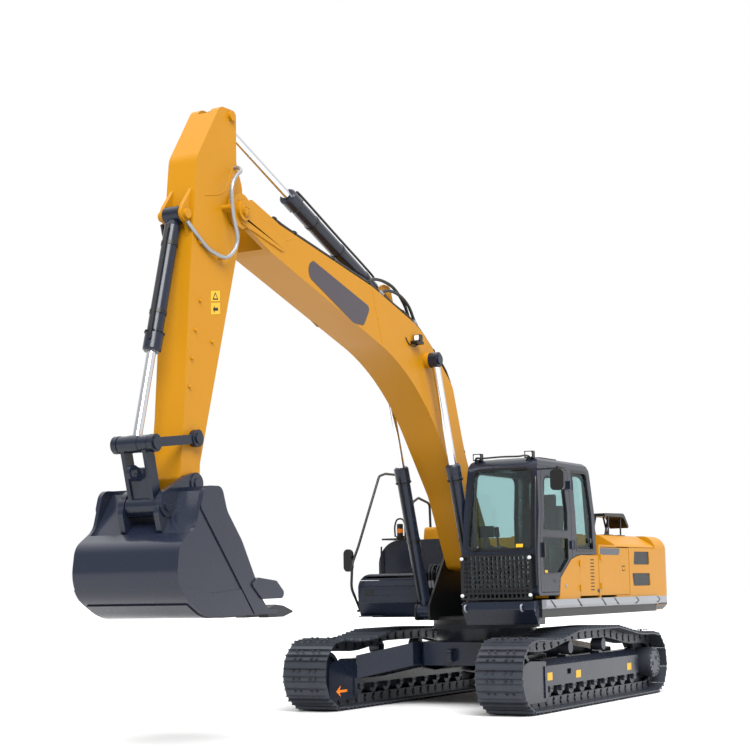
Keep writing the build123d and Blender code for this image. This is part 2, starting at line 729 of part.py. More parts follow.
cowl_front = -1430
cowl_rear = -2330
cowl = side_plate([(cowl_front, 2385, 0), (cowl_front, 2425, 10), (cowl_rear + 180, 2440, 150),
                   (cowl_rear, 2260, 20), (cowl_rear + 40, 2240, 0), (cowl_rear + 200, 2385, 120)], 860, 1130)
for x in (-1620, -2080):
    cowl += side_plate([(x - 90, hood_top + 12, 0), (x - 55, hood_top + 12, 0), (x + 90, 2400, 0),
                        (x + 55, 2400, 0)], 870, 885)
    cowl += side_plate([(x + 55, hood_top + 12, 0), (x + 90, hood_top + 12, 0), (x - 55, 2400, 0),
                        (x - 90, 2400, 0)], 885, 900)
    cowl += block(x - 110, x + 110, 865, 1120, hood_top + fit, hood_top + 14)
    cowl += block(x - 12, x + 12, 1090, 1105, hood_top + 10, 2395)
save("hood_cowl", cowl)


def flush_door(limits, low, high, y_side):
    """A side door with its hinge barrels at the front edge."""
    front = limits[1] - panel_gap
    rear = limits[0] + panel_gap
    y_low, y_high = sorted((y_side * (house_half - panel_thickness), y_side * (house_half - 5)))
    panel = side_plate([(rear, low, 20), (front, low, 20), (front, high, 20), (rear, high, 20)], y_low, y_high)
    hinge_y = y_side * (house_half + 9 + fit)
    for z in (low + 0.2 * (high - low), high - 0.2 * (high - low)):
        panel += Pos(limits[1] + hinge_inset, hinge_y, z) * Cylinder(9, 70)
        for leaf_rear, leaf_front, foot in ((front - 30, front - 5, -10), (front - 30, limits[1] + hinge_inset, 2)):
            y_low, y_high = sorted((hinge_y, y_side * (house_half + foot)))
            panel += block(leaf_rear, leaf_front, y_low, y_high, z - 30, z + 30)
    return panel


louvre = flush_door(louvre_door, door_low, louvre_high, 1)
for number in range(10):
    z = 1395 + number * 42
    louvre -= block(-190, -60, house_half - 14, house_half + 5, z, z + 15)
save("side_door_front", louvre)
rear_door = flush_door((left_door[0], left_door[1]), door_low, hood_seam - 8, 1)
save("side_door_rear", rear_door - block(-1290, -1170, house_half - 20, house_half + 5, 1640, 1710))
save("side_door_right", flush_door(right_door, door_low, shoulder_height - 80, -1))

# Fuel tank and tool box on the right
tank = front_plate([(tank_outer, deck_top + fit, 20), (tank_inner, deck_top + fit, 20), (tank_inner, tank_top, 60),
                    (tank_outer, tank_top, 320)], front_wall_x + 8, tank_front)
tank += Pos(-760, -1050, tank_top + 25) * Cylinder(75, 60)
tank += block(-410, -350, rail_y - 25, rail_y + 25, rail_pad_top - 110, rail_pad_top)
save("fuel_tank", tank)

box_front = house_front_right
box_side_rows = [
    (box_rear, box_bottom, 0),
    (box_front - 60, box_bottom, 60),
    (box_front, box_bottom + 180, 40),
    (box_front, box_top - 160, 60),
    (box_front - 70, box_top, 60),
    (box_rear, box_top, 0),
]
box_wall = 30
box_round = 140


def box_section(inset, floor):
    """The tool box across the machine, rounded at its outer top edge."""
    return [
        (box_outer + inset, box_bottom + floor, 0),
        (box_inner - inset, box_bottom + floor, 0),
        (box_inner - inset, box_top - inset, 0),
        (box_outer + inset, box_top - inset, box_round - inset),
    ]


box_outer_body = (side_plate(box_side_rows, box_outer, box_inner)
                  & front_plate(box_section(0, 0), box_rear - 5, box_front + 5))
box_cavity = front_plate(box_section(box_wall, 40), box_rear + box_wall, box_front - 45)
split = block(box_rear - 5, box_front + 5, box_outer - 5, box_inner + 5, lid_bottom, box_top + 5)
box_shell = box_outer_body - box_cavity
save("tool_box", box_shell - split)
lid_split = block(box_rear + panel_gap, box_front + 5, box_outer - 5, box_inner + 5, lid_bottom + running_gap,
                  box_top + 5)
lid = box_shell & lid_split
for y in (-1150, -670):
    lid += (cross_pin((box_rear - 9 - fit, lid_bottom + 3), 9, y - 50, y + 50)
            + block(box_rear - 12, box_rear + 14, y - 48, y + 48, lid_bottom + 8, lid_bottom + 20))
lid -= Part() + [block(box_rear + 60, box_front - 90, y - 12, y + 12, box_top - 8, box_top + 5)
                 for y in (-1200, -1060, -920, -780, -640)]
save("tool_box_lid", lid)
roof_plate = block(-20, 430, -1300, -1090, tank_top + fit, tank_top + 22)
save("raised_cover", raised_cover)

# Handrails, mirrors, beacon and lamps


def bent_tube(rows, y, radius):
    """A round tube bent in the side view through rows of (x, z, bend radius)."""
    path = Plane((0, y, 0), x_dir=(1, 0, 0), z_dir=(0, -1, 0)) * FilletPolyline(
        *[(row[0], row[1]) for row in rows], radius=[row[2] for row in rows[1:-1]])
    return sweep(Plane(path @ 0, z_dir=path % 0) * Circle(radius), path)


outer_rail = bent_tube([(905, 1200, 0), (1120, 1480, 150), (1090, 1790, 200), (925, 2010, 300),
                        (330, 2960, 90), (160, 3000, 60), (-380, 3000, 120), (-380, rail_pad_top + fit, 0)],
                       rail_y, rail_radius)
inner_rail = bent_tube([(150, tank_top + 1, 0), (140, 2600, 60), (-30, 2665, 60), (-350, 2600, 70),
                        (-370, tank_top + 1, 0)], -980, rail_radius)
rail_foot = block(860, 950, rail_y - 20, box_outer - fit, 1170, 1200)
save("handrails", outer_rail + inner_rail + rail_foot)

mirror_left = (front_plate([(1665, 2580, 50), (1835, 2580, 50), (1835, 2825, 50), (1665, 2825, 50)], 1600, 1650)
               + block(1610, 1630, 1740, 1760, 2820, 2850)
               + block(1400, 1630, 1735, 1765, 2845, 2862)
               + block(1400, 1425, cab_outer - 60, 1765, 2845, 2862)) - cab_body
mirror_right = (front_plate([(-1530, 1690, 62), (-1400, 1690, 62), (-1400, 1980, 62), (-1530, 1980, 62)], 1010, 1050)
                + block(1030, 1090, -1420, rail_y - rail_radius - fit, 1860, 1880))
save("mirrors", mirror_left + mirror_right)
beacon = (roof_plate + Pos(100, -1200, tank_top + 42) * Cylinder(55, 40)
          + Pos(100, -1200, tank_top + 140) * Cylinder(42, 160))
save("beacon", beacon)
lamp = block(-35, 35, -55, 55, 0, 82) + block(-20, 20, -20, 20, -60, 1)
lamps = Part() + [Pos(cab_front - 240, y, cab_roof - 8) * lamp for y in (cab_inner + 130, cab_outer - 170)]
save("cab_lamps", lamps - cab_body)
save("valve_block", block(-850, -150, -beam_inner + 2, beam_inner - 2, deck_bottom + fit, 1480))


# Boom: a boxed girder with a cranked middle, a cross tube at the foot and a fork at the tip

boom_rows = pinned([
    # pin, along, up, corner radius
    (boom_foot, -120, -190, 110),
    (boom_foot, 180, -150, 110),
    (boom_foot, 650, 740, 900),
    (boom_foot, 1866, 2166, 3000),
    (arm_pin, -560, -345, 400),
    (arm_pin, -120, -165, 60),
    (arm_pin, -120, 172, 60),
    (arm_pin, -560, 36, 200),
    (arm_pin, -700, -12, 200),
    (arm_pin, -upper_reach, -375, 1500),
    (boom_foot, 1630, 2717, 1500),
    (boom_foot, 853, 2109, 300),
    (boom_foot, 535, 1235, 800),
    (boom_foot, -190, 60, 160),
])
fork_depth = 470
boom = side_plate(boom_rows, -boom_half, boom_half)
boom += cross_pin(arm_pin, 180, -boom_half, boom_half)
boom -= side_plate(pinned([
    (arm_pin, -fork_depth, -500, 0),
    (arm_pin, 400, -500, 0),
    (arm_pin, 400, 500, 0),
    (arm_pin, -fork_depth, 500, 0),
]), -fork_inner, fork_inner)
boom -= cross_pin(boom_foot, foot_pin_radius + fit, -boom_half - 5, boom_half + 5)
boom += cross_pin(arm_pin, tip_pin_radius, -boom_half - 60, boom_half + 60)
boom += both_sides(cross_pin(arm_pin, 105, boom_half - 5, boom_half + 40))
boom += both_sides(cross_pin(boom_rod_pin, 95, boom_half - 5, boom_cylinder_y - 55 - fit))
ear_y = 92
base_ear = side_plate(pinned([
    (arm_base_pin, -230, -280, 0),
    (arm_base_pin, 260, -170, 0),
    (arm_base_pin, 95, 95, 90),
    (arm_base_pin, -95, 95, 90),
]), ear_y, ear_y + 38)
boom += both_sides(base_ear) + cross_pin(arm_base_pin, cylinder_pin_radius, -ear_y - 60, ear_y + 60)
save("boom", boom)

# Arm: a tapering box that swings in the boom's fork
arm_rows = pinned([
    (arm_rod_pin, -95, 70, 60),
    (arm_pin, -5, 510, 120),
    (arm_pin, -110, 260, 200),
    (arm_pin, -92, -150, 220),
    (bucket_pin, -150, 200, 150),
    (bucket_pin, -140, -120, 110),
    (bucket_pin, 115, -105, 90),
    (bucket_pin, 175, 50, 60),
    (bucket_pin, 110, 630, 600),
    (arm_pin, 815, -830, 1500),
    (arm_pin, 678, 430, 200),
    (arm_rod_pin, 190, 65, 120),
])
arm = side_plate(arm_rows, -arm_half, arm_half)
arm -= cross_pin(arm_rod_pin, 230, -rod_eye_half - 12, rod_eye_half + 12)
arm += both_sides(cross_pin(arm_rod_pin, cylinder_pin_radius, rod_eye_half + 10, arm_half + 30))
arm += both_sides(cross_pin(arm_pin, 130, arm_half - 5, fork_inner - fit))
arm -= cross_pin(arm_pin, tip_pin_radius + fit, -fork_inner - 5, fork_inner + 5)
arm += both_sides(cross_pin(bucket_pin, 108, arm_half - 5, ear_inner - fit))
arm -= cross_pin(bucket_pin, bucket_pin_radius + fit, -ear_inner - 5, ear_inner + 5)
arm += both_sides(cross_pin(side_link_pin, 82, arm_half - 5, ear_inner - fit))
arm -= cross_pin(side_link_pin, link_pin_radius + fit, -ear_inner - 5, ear_inner + 5)
cylinder_ear = side_plate(pinned([
    (bucket_base_pin, -150, 330, 0),
    (bucket_base_pin, 40, 85, 80),
    (bucket_base_pin, 95, -40, 80),
    (bucket_base_pin, -30, -90, 80),
    (bucket_base_pin, -90, -420, 0),
    (bucket_base_pin, -200, -420, 0),
    (bucket_base_pin, -200, 330, 0),
]), ear_y, ear_y + 40)
arm -= cross_pin(bucket_base_pin, 105, -ear_y, ear_y)
arm += both_sides(cylinder_ear) + cross_pin(bucket_base_pin, cylinder_pin_radius, -ear_y - 75, ear_y + 75)
save("arm", arm)


# Hydraulic cylinders: each barrel is bored for its rod

def barrel(base, end, y, length, radius, rod_radius, eye_half, eye_radius):
    """A barrel from its base eye: a rounded base, the tube and the thicker head."""
    depth = eye_radius + 60
    rows = [
        (eye_radius - 15, 0),
        (eye_radius - 15, radius * 0.72),
        (eye_radius + 45, radius),
        (length - 190, radius),
        (length - 180, radius + 12),
        (length - 18, radius + 12),
        (length, radius - 6),
        (length, rod_radius + fit),
        (depth, rod_radius + fit),
        (depth, 0),
    ]
    eye = cross_pin(base, eye_radius, y - eye_half, y + eye_half)
    bore = cross_pin(base, cylinder_pin_radius + fit, y - eye_half - 5, y + eye_half + 5)
    return eye + turned(rows, base, end, y) - bore


def rod(base, end, y, inside, rod_radius, eye_half, eye_radius):
    """A rod from a distance inside its barrel to the eye at its end."""
    reach = distance(base, end)
    rows = [(inside, 0), (inside, rod_radius), (reach - eye_radius + 15, rod_radius), (reach - eye_radius + 15, 0)]
    return cross_pin(end, eye_radius, y - eye_half, y + eye_half) + turned(rows, base, end, y)


boom_rod_radius = 50
boom_barrel_radius = 80
for side, sign in (("l", 1), ("r", -1)):
    y = sign * boom_cylinder_y
    save(f"boom_barrel_{side}", barrel(boom_base_pin, boom_rod_pin, y, 1870, boom_barrel_radius, boom_rod_radius,
                                       boom_cylinder_y - beam_outer - fit, 95))
    eye_cap = cross_pin(boom_rod_pin, 60, y + sign * 62 - 15, y + sign * 62 + 15)
    save(f"boom_rod_{side}", rod(boom_base_pin, boom_rod_pin, y, 1160, boom_rod_radius, 55, 92) + eye_cap)
save("arm_barrel", barrel(arm_base_pin, arm_rod_pin, 0, 2128, 86, 52, ear_y - fit, 90))
save("arm_rod", rod(arm_base_pin, arm_rod_pin, 0, 1190, 52, rod_eye_half + 10 - fit, 92))
save("bucket_barrel", barrel(bucket_base_pin, top_link_pin, 0, 1439, 78, 45, ear_y - fit, 85))
save("bucket_rod", rod(bucket_base_pin, top_link_pin, 0, 735, 45, rod_eye_half, 84))

# Bucket linkage
side_link_half = 45
side_link = side_plate([
    (side_link_pin[0] - 40, side_link_pin[1] - side_link_half, 30),
    (top_link_pin[0] + 40, top_link_pin[1] - side_link_half, 30),
    (top_link_pin[0] + 40, top_link_pin[1] + side_link_half, 30),
    (side_link_pin[0] - 40, side_link_pin[1] + side_link_half, 30),
], ear_inner + 10, ear_outer - 12)
side_link += cross_pin(side_link_pin, 84, ear_inner, ear_outer)
side_link += cross_pin(top_link_pin, 84, ear_inner, ear_outer)
side_link += cross_pin(top_link_pin, 60, ear_outer - 5, ear_outer + 16)
save("side_links", both_sides(side_link) + cross_pin(side_link_pin, link_pin_radius, -ear_outer - 16,
                                                     ear_outer + 16))

flange = side_plate(pinned([
    (bucket_link_pin, -62, 0, 0),
    (bucket_link_pin, 62, 0, 0),
    (top_link_pin, 66, 0, 0),
    (top_link_pin, -66, 0, 0),
]), 104, 146)
link_web = side_plate(pinned([
    (bucket_link_pin, -25, 69, 0),
    (bucket_link_pin, 56, 47, 0),
    (top_link_pin, -17, -228, 20),
    (top_link_pin, -99, -206, 20),
]), -110, 110)
lifting_eye = shifted(top_link_pin, 46, -271)
lifting_eye_radius = 45
lifting_lug = cross_pin(lifting_eye, 75, -18, 18) + side_plate(pinned([
    (lifting_eye, -125, -70, 0),
    (lifting_eye, -10, -74, 0),
    (lifting_eye, 10, 74, 0),
    (lifting_eye, -115, 45, 0),
]), -18, 18)
h_link = (both_sides(flange + cross_pin(top_link_pin, 80, rod_eye_half + 1, link_half)) + link_web
          + cross_pin(bucket_link_pin, 98, -link_half, link_half) + lifting_lug)
h_link -= cross_pin(bucket_link_pin, link_pin_radius + fit, -link_half - 5, link_half + 5)
h_link -= cross_pin(lifting_eye, lifting_eye_radius, -30, 30)
save("h_link", h_link)

# Bucket: the outline of its sides, hollowed from the mouth, with two ears for the pins
bucket_half = 600
bucket_side = 35
bucket_skin = 28
bucket_rows = pinned([
    (bucket_pin, 118, -45, 95),
    (bucket_pin, 35, -275, 200),
    (bucket_pin, -205, -545, 500),
    (bucket_pin, -560, -1110, 200),
    (bucket_pin, -650, -1195, 0),
    (bucket_pin, -830, -1195, 0),
    (bucket_pin, -830, -1245, 0),
    (bucket_pin, 400, -1245, 420),
    (bucket_pin, 830, -1010, 330),
    (bucket_pin, 765, -590, 180),
    (bucket_pin, 510, -430, 200),
    (bucket_pin, 395, -50, 115),
])
hollow_rows = pinned([
    (bucket_pin, 150, 50, 0),
    (bucket_pin, 150, -70, 0),
    (bucket_pin, 232, -165, 0),
    (bucket_pin, 490, -520, 80),
    (bucket_pin, 735, -625, 150),
    (bucket_pin, 780, -985, 290),
    (bucket_pin, 392, -1195, 380),
    (bucket_pin, -900, -1195, 0),
    (bucket_pin, -900, 50, 0),
])
# The back plate lies deeper than the edges of the sides, down to the bend of the shell.
back_rows = pinned([
    (bucket_pin, 250, 50, 0),
    (bucket_pin, 250, -85, 0),
    (bucket_pin, 525, -482, 0),
    (bucket_pin, 700, -482, 0),
    (bucket_pin, 700, 50, 0),
])
inside_y = bucket_half - bucket_side
bucket_block = side_plate(bucket_rows, -bucket_half, bucket_half)
bucket = bucket_block - side_plate(hollow_rows, -inside_y, inside_y) - side_plate(back_rows, -inside_y, inside_y)
recess = side_plate(pinned([
    (bucket_pin, 90, 20, 0),
    (bucket_pin, 140, -175, 0),
    (bucket_pin, 345, -315, 60),
    (bucket_pin, 530, -482, 0),
    (bucket_pin, 700, -482, 0),
    (bucket_pin, 700, 20, 0),
]), -ear_inner, ear_inner)
recess_floor = side_plate(pinned([
    (bucket_pin, 147, -178, 0),
    (bucket_pin, 345, -315, 60),
    (bucket_pin, 530, -482, 0),
    (bucket_pin, 508, -506, 0),
    (bucket_pin, 330, -347, 60),
    (bucket_pin, 124, -202, 0),
]), -ear_inner, ear_inner)
bucket = bucket - recess + recess_floor
ear = side_plate(pinned([
    (bucket_pin, -120, -60, 80),
    (bucket_pin, -70, 125, 90),
    (bucket_pin, 150, 70, 150),
    (bucket_link_pin, 60, 118, 110),
    (bucket_link_pin, 130, -60, 110),
    (bucket_link_pin, 60, -290, 60),
    (bucket_pin, 420, -470, 40),
    (bucket_pin, 330, -360, 40),
    (bucket_pin, 128, -216, 30),
    (bucket_pin, 40, -110, 60),
]), ear_inner, ear_outer)
ear += cross_pin(bucket_pin, 97, ear_inner, ear_outer + 14)
ear += cross_pin(bucket_link_pin, 105, ear_inner, ear_outer + 14)
bucket += both_sides(ear)
bucket += cross_pin(bucket_pin, bucket_pin_radius, -ear_outer - 28, ear_outer + 28)
bucket += cross_pin(bucket_link_pin, link_pin_radius, -ear_outer - 28, ear_outer + 28)

# Plates on the outside: a strip along each mouth edge, a shroud round each heel corner,
# a cutter beside the teeth and a wear plate under the heel
strip_thickness = 14
shroud_thickness = 10
cutter_half = 19
heel_thickness = 14
strip = side_plate(bucket_rows, bucket_half - 4, bucket_half + strip_thickness) & side_plate(pinned([
    (bucket_pin, 470, 0, 0),
    (bucket_pin, 441, -272, 0),
    (bucket_pin, 32, -731, 0),
    (bucket_pin, -412, -1235, 0),
    (bucket_pin, -640, -1235, 0),
    (bucket_pin, -640, 0, 0),
]), bucket_half - 5, bucket_half + 20)
shroud = side_plate(bucket_rows, bucket_half - 4, bucket_half + shroud_thickness) & side_plate(pinned([
    (bucket_pin, 900, -981, 0),
    (bucket_pin, 520, -985, 60),
    (bucket_pin, 303, -1035, 120),
    (bucket_pin, -190, -1003, 0),
    (bucket_pin, -412, -1260, 0),
    (bucket_pin, 900, -1260, 0),
]), bucket_half - 5, bucket_half + 20)
cutter = side_plate(pinned([
    (bucket_pin, -335, -952, 30),
    (bucket_pin, -455, -893, 30),
    (bucket_pin, -775, -925, 60),
    (bucket_pin, -925, -1045, 40),
    (bucket_pin, -868, -1095, 30),
    (bucket_pin, -524, -1100, 40),
]), bucket_half - 8, bucket_half + 2 * cutter_half - 8)
heel_plate = side_plate(pinned([
    (bucket_pin, -320, -1259, 0),
    (bucket_pin, 403.5, -1259, 434),
    (bucket_pin, 626, -1137, 0),
    (bucket_pin, 617, -1121, 0),
    (bucket_pin, 396, -1238, 410),
    (bucket_pin, -320, -1238, 0),
]), 30 - bucket_half, bucket_half - 30)
bucket += both_sides(strip + shroud + cutter) + heel_plate
save("bucket", bucket)

lip_pin = shifted(bucket_pin, -830, -1245)
tooth_count = 5
tooth_rows = pinned([
    (lip_pin, 165, 52, 0),
    (lip_pin, 20, 92, 20),
    (lip_pin, -120, 78, 0),
    (lip_pin, -288, 26, 0),
    (lip_pin, -290, 12, 0),
    (lip_pin, -120, -30, 0),
    (lip_pin, 150, -32, 0),
    (lip_pin, 150, -fit, 0),
    (lip_pin, -fit, -fit, 0),
    (lip_pin, -fit, 50 + fit, 0),
    (lip_pin, 165, 50 + fit, 0),
])
teeth = Part()
for number in range(tooth_count):
    y = -bucket_half + 62 + number * (2 * bucket_half - 124) / (tooth_count - 1)
    teeth += side_plate(tooth_rows, y - 55, y + 55)
save("bucket_teeth", teeth)
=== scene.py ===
# %% [markdown]
# # A crawler excavator, dressed for its photograph
#
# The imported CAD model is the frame: it holds every solid and every joint. This lesson gives it
# paint, glass and small parts, then sets a camera where the photograph was taken from.
# Lengths are in metres. X is forward along the boom, Y is the cab side and Z is up, and the
# origin is on the ground under the middle of the slewing ring.
#
# Every small part is told which body it rides on. When the boom rises or a door swings, the
# parts on it go along, so one script serves every pose.

import math

import bmesh
import bpy
import numpy as np
from mathutils import Matrix, Vector
from mathutils.bvhtree import BVHTree


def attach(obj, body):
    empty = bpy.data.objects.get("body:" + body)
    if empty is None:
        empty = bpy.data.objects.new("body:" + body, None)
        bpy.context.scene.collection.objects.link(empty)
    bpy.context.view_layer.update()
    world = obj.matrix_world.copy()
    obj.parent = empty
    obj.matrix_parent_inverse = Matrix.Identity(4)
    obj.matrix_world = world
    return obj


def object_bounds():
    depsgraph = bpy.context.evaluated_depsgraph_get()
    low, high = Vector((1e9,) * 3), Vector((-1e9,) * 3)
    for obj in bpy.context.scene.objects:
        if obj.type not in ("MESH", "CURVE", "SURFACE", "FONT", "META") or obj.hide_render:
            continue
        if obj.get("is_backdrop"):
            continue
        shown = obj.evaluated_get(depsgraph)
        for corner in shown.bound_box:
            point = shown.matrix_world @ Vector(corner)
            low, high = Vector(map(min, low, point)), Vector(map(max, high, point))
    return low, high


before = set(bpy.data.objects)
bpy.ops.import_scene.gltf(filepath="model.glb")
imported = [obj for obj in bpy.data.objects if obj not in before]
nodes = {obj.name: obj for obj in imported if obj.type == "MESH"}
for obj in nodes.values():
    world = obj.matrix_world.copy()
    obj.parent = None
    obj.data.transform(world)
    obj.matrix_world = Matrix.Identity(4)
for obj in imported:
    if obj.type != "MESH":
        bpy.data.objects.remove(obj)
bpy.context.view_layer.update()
scene = bpy.context.scene

# %% [markdown]
# ## Paints and other materials
#
# A real panel of paint is never one flat colour: dust, polish and light change it slowly from
# place to place. A picture wrapped round the machine could show that, but it would need a map for
# every piece. So every material is built from numbers instead: a base colour, a roughness, and
# slow noise in object coordinates that varies both a little. The noise is tied to the piece, so
# it stays in place when the piece moves.

# %% Material maker


def linear(red, green, blue):
    """A colour given as it looks on screen (0 to 255), as the linear values shaders use."""
    def one(value):
        """One channel with the screen's curve undone: a power of 2.4 over a short straight start."""
        value /= 255
        return value / 12.92 if value <= 0.04045 else ((value + 0.055) / 1.055) ** 2.4
    return (one(red), one(green), one(blue), 1.0)


def material(name, colour, roughness=0.4, metallic=0.0, mottle=0.12, scale=2.5, coat=0.0, fine=0.0,
             shine=0.4):
    """A paint, metal or plastic.

    mottle is how far the noise darkens the colour, and scale how fine that noise is. coat is a
    clear layer on top, shine the strength of the plain reflection, and fine the height of bumps.
    """
    mat = bpy.data.materials.new(name)
    mat.use_nodes = True
    tree = mat.node_tree
    shader = tree.nodes["Principled BSDF"]
    shader.inputs["Metallic"].default_value = metallic
    shader.inputs["Coat Weight"].default_value = coat
    shader.inputs["Coat Roughness"].default_value = 0.12
    shader.inputs["Specular IOR Level"].default_value = shine
    place = tree.nodes.new("ShaderNodeTexCoord")
    noise = tree.nodes.new("ShaderNodeTexNoise")
    noise.inputs["Scale"].default_value = scale
    noise.inputs["Detail"].default_value = 4.0
    tree.links.new(place.outputs["Object"], noise.inputs["Vector"])
    tint = tree.nodes.new("ShaderNodeMix")
    tint.data_type = "RGBA"
    tint.inputs["A"].default_value = colour
    tint.inputs["B"].default_value = tuple(c * (1 - mottle) for c in colour[:3]) + (1.0,)
    tree.links.new(noise.outputs["Fac"], tint.inputs["Factor"])
    tree.links.new(tint.outputs["Result"], shader.inputs["Base Color"])
    gloss = tree.nodes.new("ShaderNodeMapRange")
    gloss.inputs["To Min"].default_value = max(0.02, roughness - 0.05)
    gloss.inputs["To Max"].default_value = roughness + 0.06
    tree.links.new(noise.outputs["Fac"], gloss.inputs["Value"])
    tree.links.new(gloss.outputs["Result"], shader.inputs["Roughness"])
    if fine:
        grain = tree.nodes.new("ShaderNodeTexNoise")
        grain.inputs["Scale"].default_value = 120.0
        tree.links.new(place.outputs["Object"], grain.inputs["Vector"])
        bump = tree.nodes.new("ShaderNodeBump")
        bump.inputs["Strength"].default_value = fine
        bump.inputs["Distance"].default_value = 0.002
        tree.links.new(grain.outputs["Fac"], bump.inputs["Height"])
        tree.links.new(bump.outputs["Normal"], shader.inputs["Normal"])
    return mat


# %% [markdown]
# The excavator has two paints, yellow on the boom, arm and covers, and a near-black on the cab,
# tank, bucket and cylinders. The blue in that near-black is a painted reflection of the sky, put
# into its colour: the white studio has no blue sky to reflect. The track shoes and tooth tips are
# bare steel, and the rods are chrome. The dark paints reflect less than the default does, because
# a dark glossy surface in a white studio would otherwise turn grey.

# %% The paints, metals and plastics
yellow = material("yellow_paint", linear(162, 110, 8), 0.38, mottle=0.05, shine=0.22)
# Near-black paint: the blue in this colour is a painted reflection of the sky.
dark = material("dark_paint", linear(21, 27, 40), 0.27, mottle=0.15, coat=0.15, shine=0.28)
black = material("black_trim", linear(11, 12, 14), 0.38, mottle=0.2)
# The bucket's near-black paint: the blue in this colour is a painted reflection of the sky too.
bucket_paint_with_painted_sky_blue = material("bucket_paint_with_painted_sky_blue", linear(25, 30, 44), 0.27, mottle=0.15, coat=0.2, shine=0.3)
silver = material("silver_paint", linear(118, 121, 126), 0.32, mottle=0.06, coat=0.2)
steel = material("track_steel", linear(64, 68, 76), 0.36, metallic=0.5, mottle=0.3, scale=9, fine=0.25)
wear = material("wear_steel", linear(46, 47, 52), 0.42, metallic=0.3, mottle=0.3, scale=8, fine=0.3)
chrome = material("chrome", linear(215, 217, 222), 0.12, metallic=1.0, mottle=0.05)
rubber = material("hose_rubber", linear(16, 16, 18), 0.45, mottle=0.3)
braid = material("braided_hose", linear(150, 152, 156), 0.3, metallic=0.6, mottle=0.2, scale=60)
fabric = material("seat_fabric", linear(40, 41, 46), 0.85, mottle=0.3, scale=30)
cast = material("cast_metal", linear(54, 56, 60), 0.55, metallic=0.2, mottle=0.3, scale=6)
white = material("white_plastic", linear(180, 181, 183), 0.35, mottle=0.03)
label = material("yellow_label", linear(190, 150, 26), 0.45, mottle=0.02)
orange = material("orange_label", linear(226, 120, 20), 0.45, mottle=0.02)
amber = material("amber_lens", linear(190, 108, 14), 0.15, mottle=0.05, coat=0.6)
lens = material("lamp_lens", linear(225, 230, 236), 0.06, metallic=0.3, mottle=0.05, coat=0.8)
grey_panel = material("grey_panel", linear(66, 69, 75), 0.4, mottle=0.05)
decal = material("boom_decal", linear(46, 38, 46), 0.35, mottle=0.1, coat=0.3)


# %% [markdown]
# The cab's panes are tinted. A physical glass shader bends light at both faces of each pane and
# turns black where panes lie behind one another, so a thin pane is better made as a mix: mostly
# a see-through tint, with a small constant share of mirror reflection.

# %% Glass


def glass_material(name, colour, share):
    """Tinted glass: a see-through colour, mixed with a constant share of glossy reflection."""
    mat = bpy.data.materials.new(name)
    mat.use_nodes = True
    tree = mat.node_tree
    tree.nodes.clear()
    out = tree.nodes.new("ShaderNodeOutputMaterial")
    clear = tree.nodes.new("ShaderNodeBsdfTransparent")
    clear.inputs["Color"].default_value = colour
    gloss = tree.nodes.new("ShaderNodeBsdfGlossy")
    gloss.inputs["Roughness"].default_value = 0.03
    mix = tree.nodes.new("ShaderNodeMixShader")
    mix.inputs["Fac"].default_value = share
    tree.links.new(clear.outputs["BSDF"], mix.inputs[1])
    tree.links.new(gloss.outputs["BSDF"], mix.inputs[2])
    tree.links.new(mix.outputs["Shader"], out.inputs["Surface"])
    return mat


tinted = glass_material("tinted_glass", linear(226, 240, 240), 0.06)

# %% [markdown]
# Each CAD node gets one material. Its faces are shaded smooth, with sharp edges where two faces
# meet at more than 32 degrees, so round bars look round and plates keep their edges.

# %% Which node wears which material
worn = {
    "carbody": dark, "slewing_ring": cast, "turning_frame": black, "side_decks": black,
    "front_sill": dark, "side_skirts": silver, "counterweight": yellow, "cab_shell": dark,
    "cab_glass": tinted, "operator_seat": fabric, "control_consoles": black, "cab_guard": black,
    "engine_covers": yellow, "engine_block": cast, "fuel_tank": dark, "tool_box": dark,
    "tool_box_lid": dark, "raised_cover": yellow, "handrails": black, "mirrors": black,
    "beacon": black, "cab_lamps": black, "valve_block": cast, "cab_door": dark,
    "cab_door_glass": tinted, "engine_hood": yellow, "hood_cowl": black, "side_door_front": yellow,
    "side_door_rear": yellow, "side_door_right": yellow, "boom": yellow, "arm": yellow,
    "boom_barrel_l": dark, "boom_barrel_r": dark, "arm_barrel": dark, "bucket_barrel": dark,
    "boom_rod_l": chrome, "boom_rod_r": chrome, "arm_rod": chrome, "bucket_rod": chrome,
    "side_links": dark, "h_link": dark, "bucket": bucket_paint_with_painted_sky_blue, "bucket_teeth": wear,
}
for side in "lr":
    worn["track_frame_" + side] = dark
    worn["track_" + side] = steel
    worn["idler_" + side] = steel
    worn["sprocket_" + side] = steel
    worn["rollers_" + side] = steel
for name, node in nodes.items():
    node.data.materials.clear()
    node.data.materials.append(worn[name])
    node.data.polygons.foreach_set("use_smooth", [True] * len(node.data.polygons))
    node.data.set_sharp_from_angle(angle=math.radians(32))
print("materials on", len(worn), "nodes")

# %% [markdown]
# The rods are chrome but their eyes are painted like the barrels, so each rod node wears two
# materials: every face near the eye's pin takes the dark one.

# %% Painted rod eyes
EYE_REACH = 0.1
rod_eyes = {
    "boom_rod_l": (2.0, 4.2), "boom_rod_r": (2.0, 4.2),
    "arm_rod": (6.06, 6.265), "bucket_rod": (7.399, 2.839),
}
for name, (x, z) in rod_eyes.items():
    mesh = nodes[name].data
    mesh.materials.append(dark)
    middle = np.empty(len(mesh.polygons) * 3)
    mesh.polygons.foreach_get("center", middle)
    middle = middle.reshape(-1, 3)
    painted = np.hypot(middle[:, 0] - x, middle[:, 2] - z) < EYE_REACH
    mesh.polygons.foreach_set("material_index", painted.astype(int).tolist())
    print(name, int(painted.sum()), "painted faces")

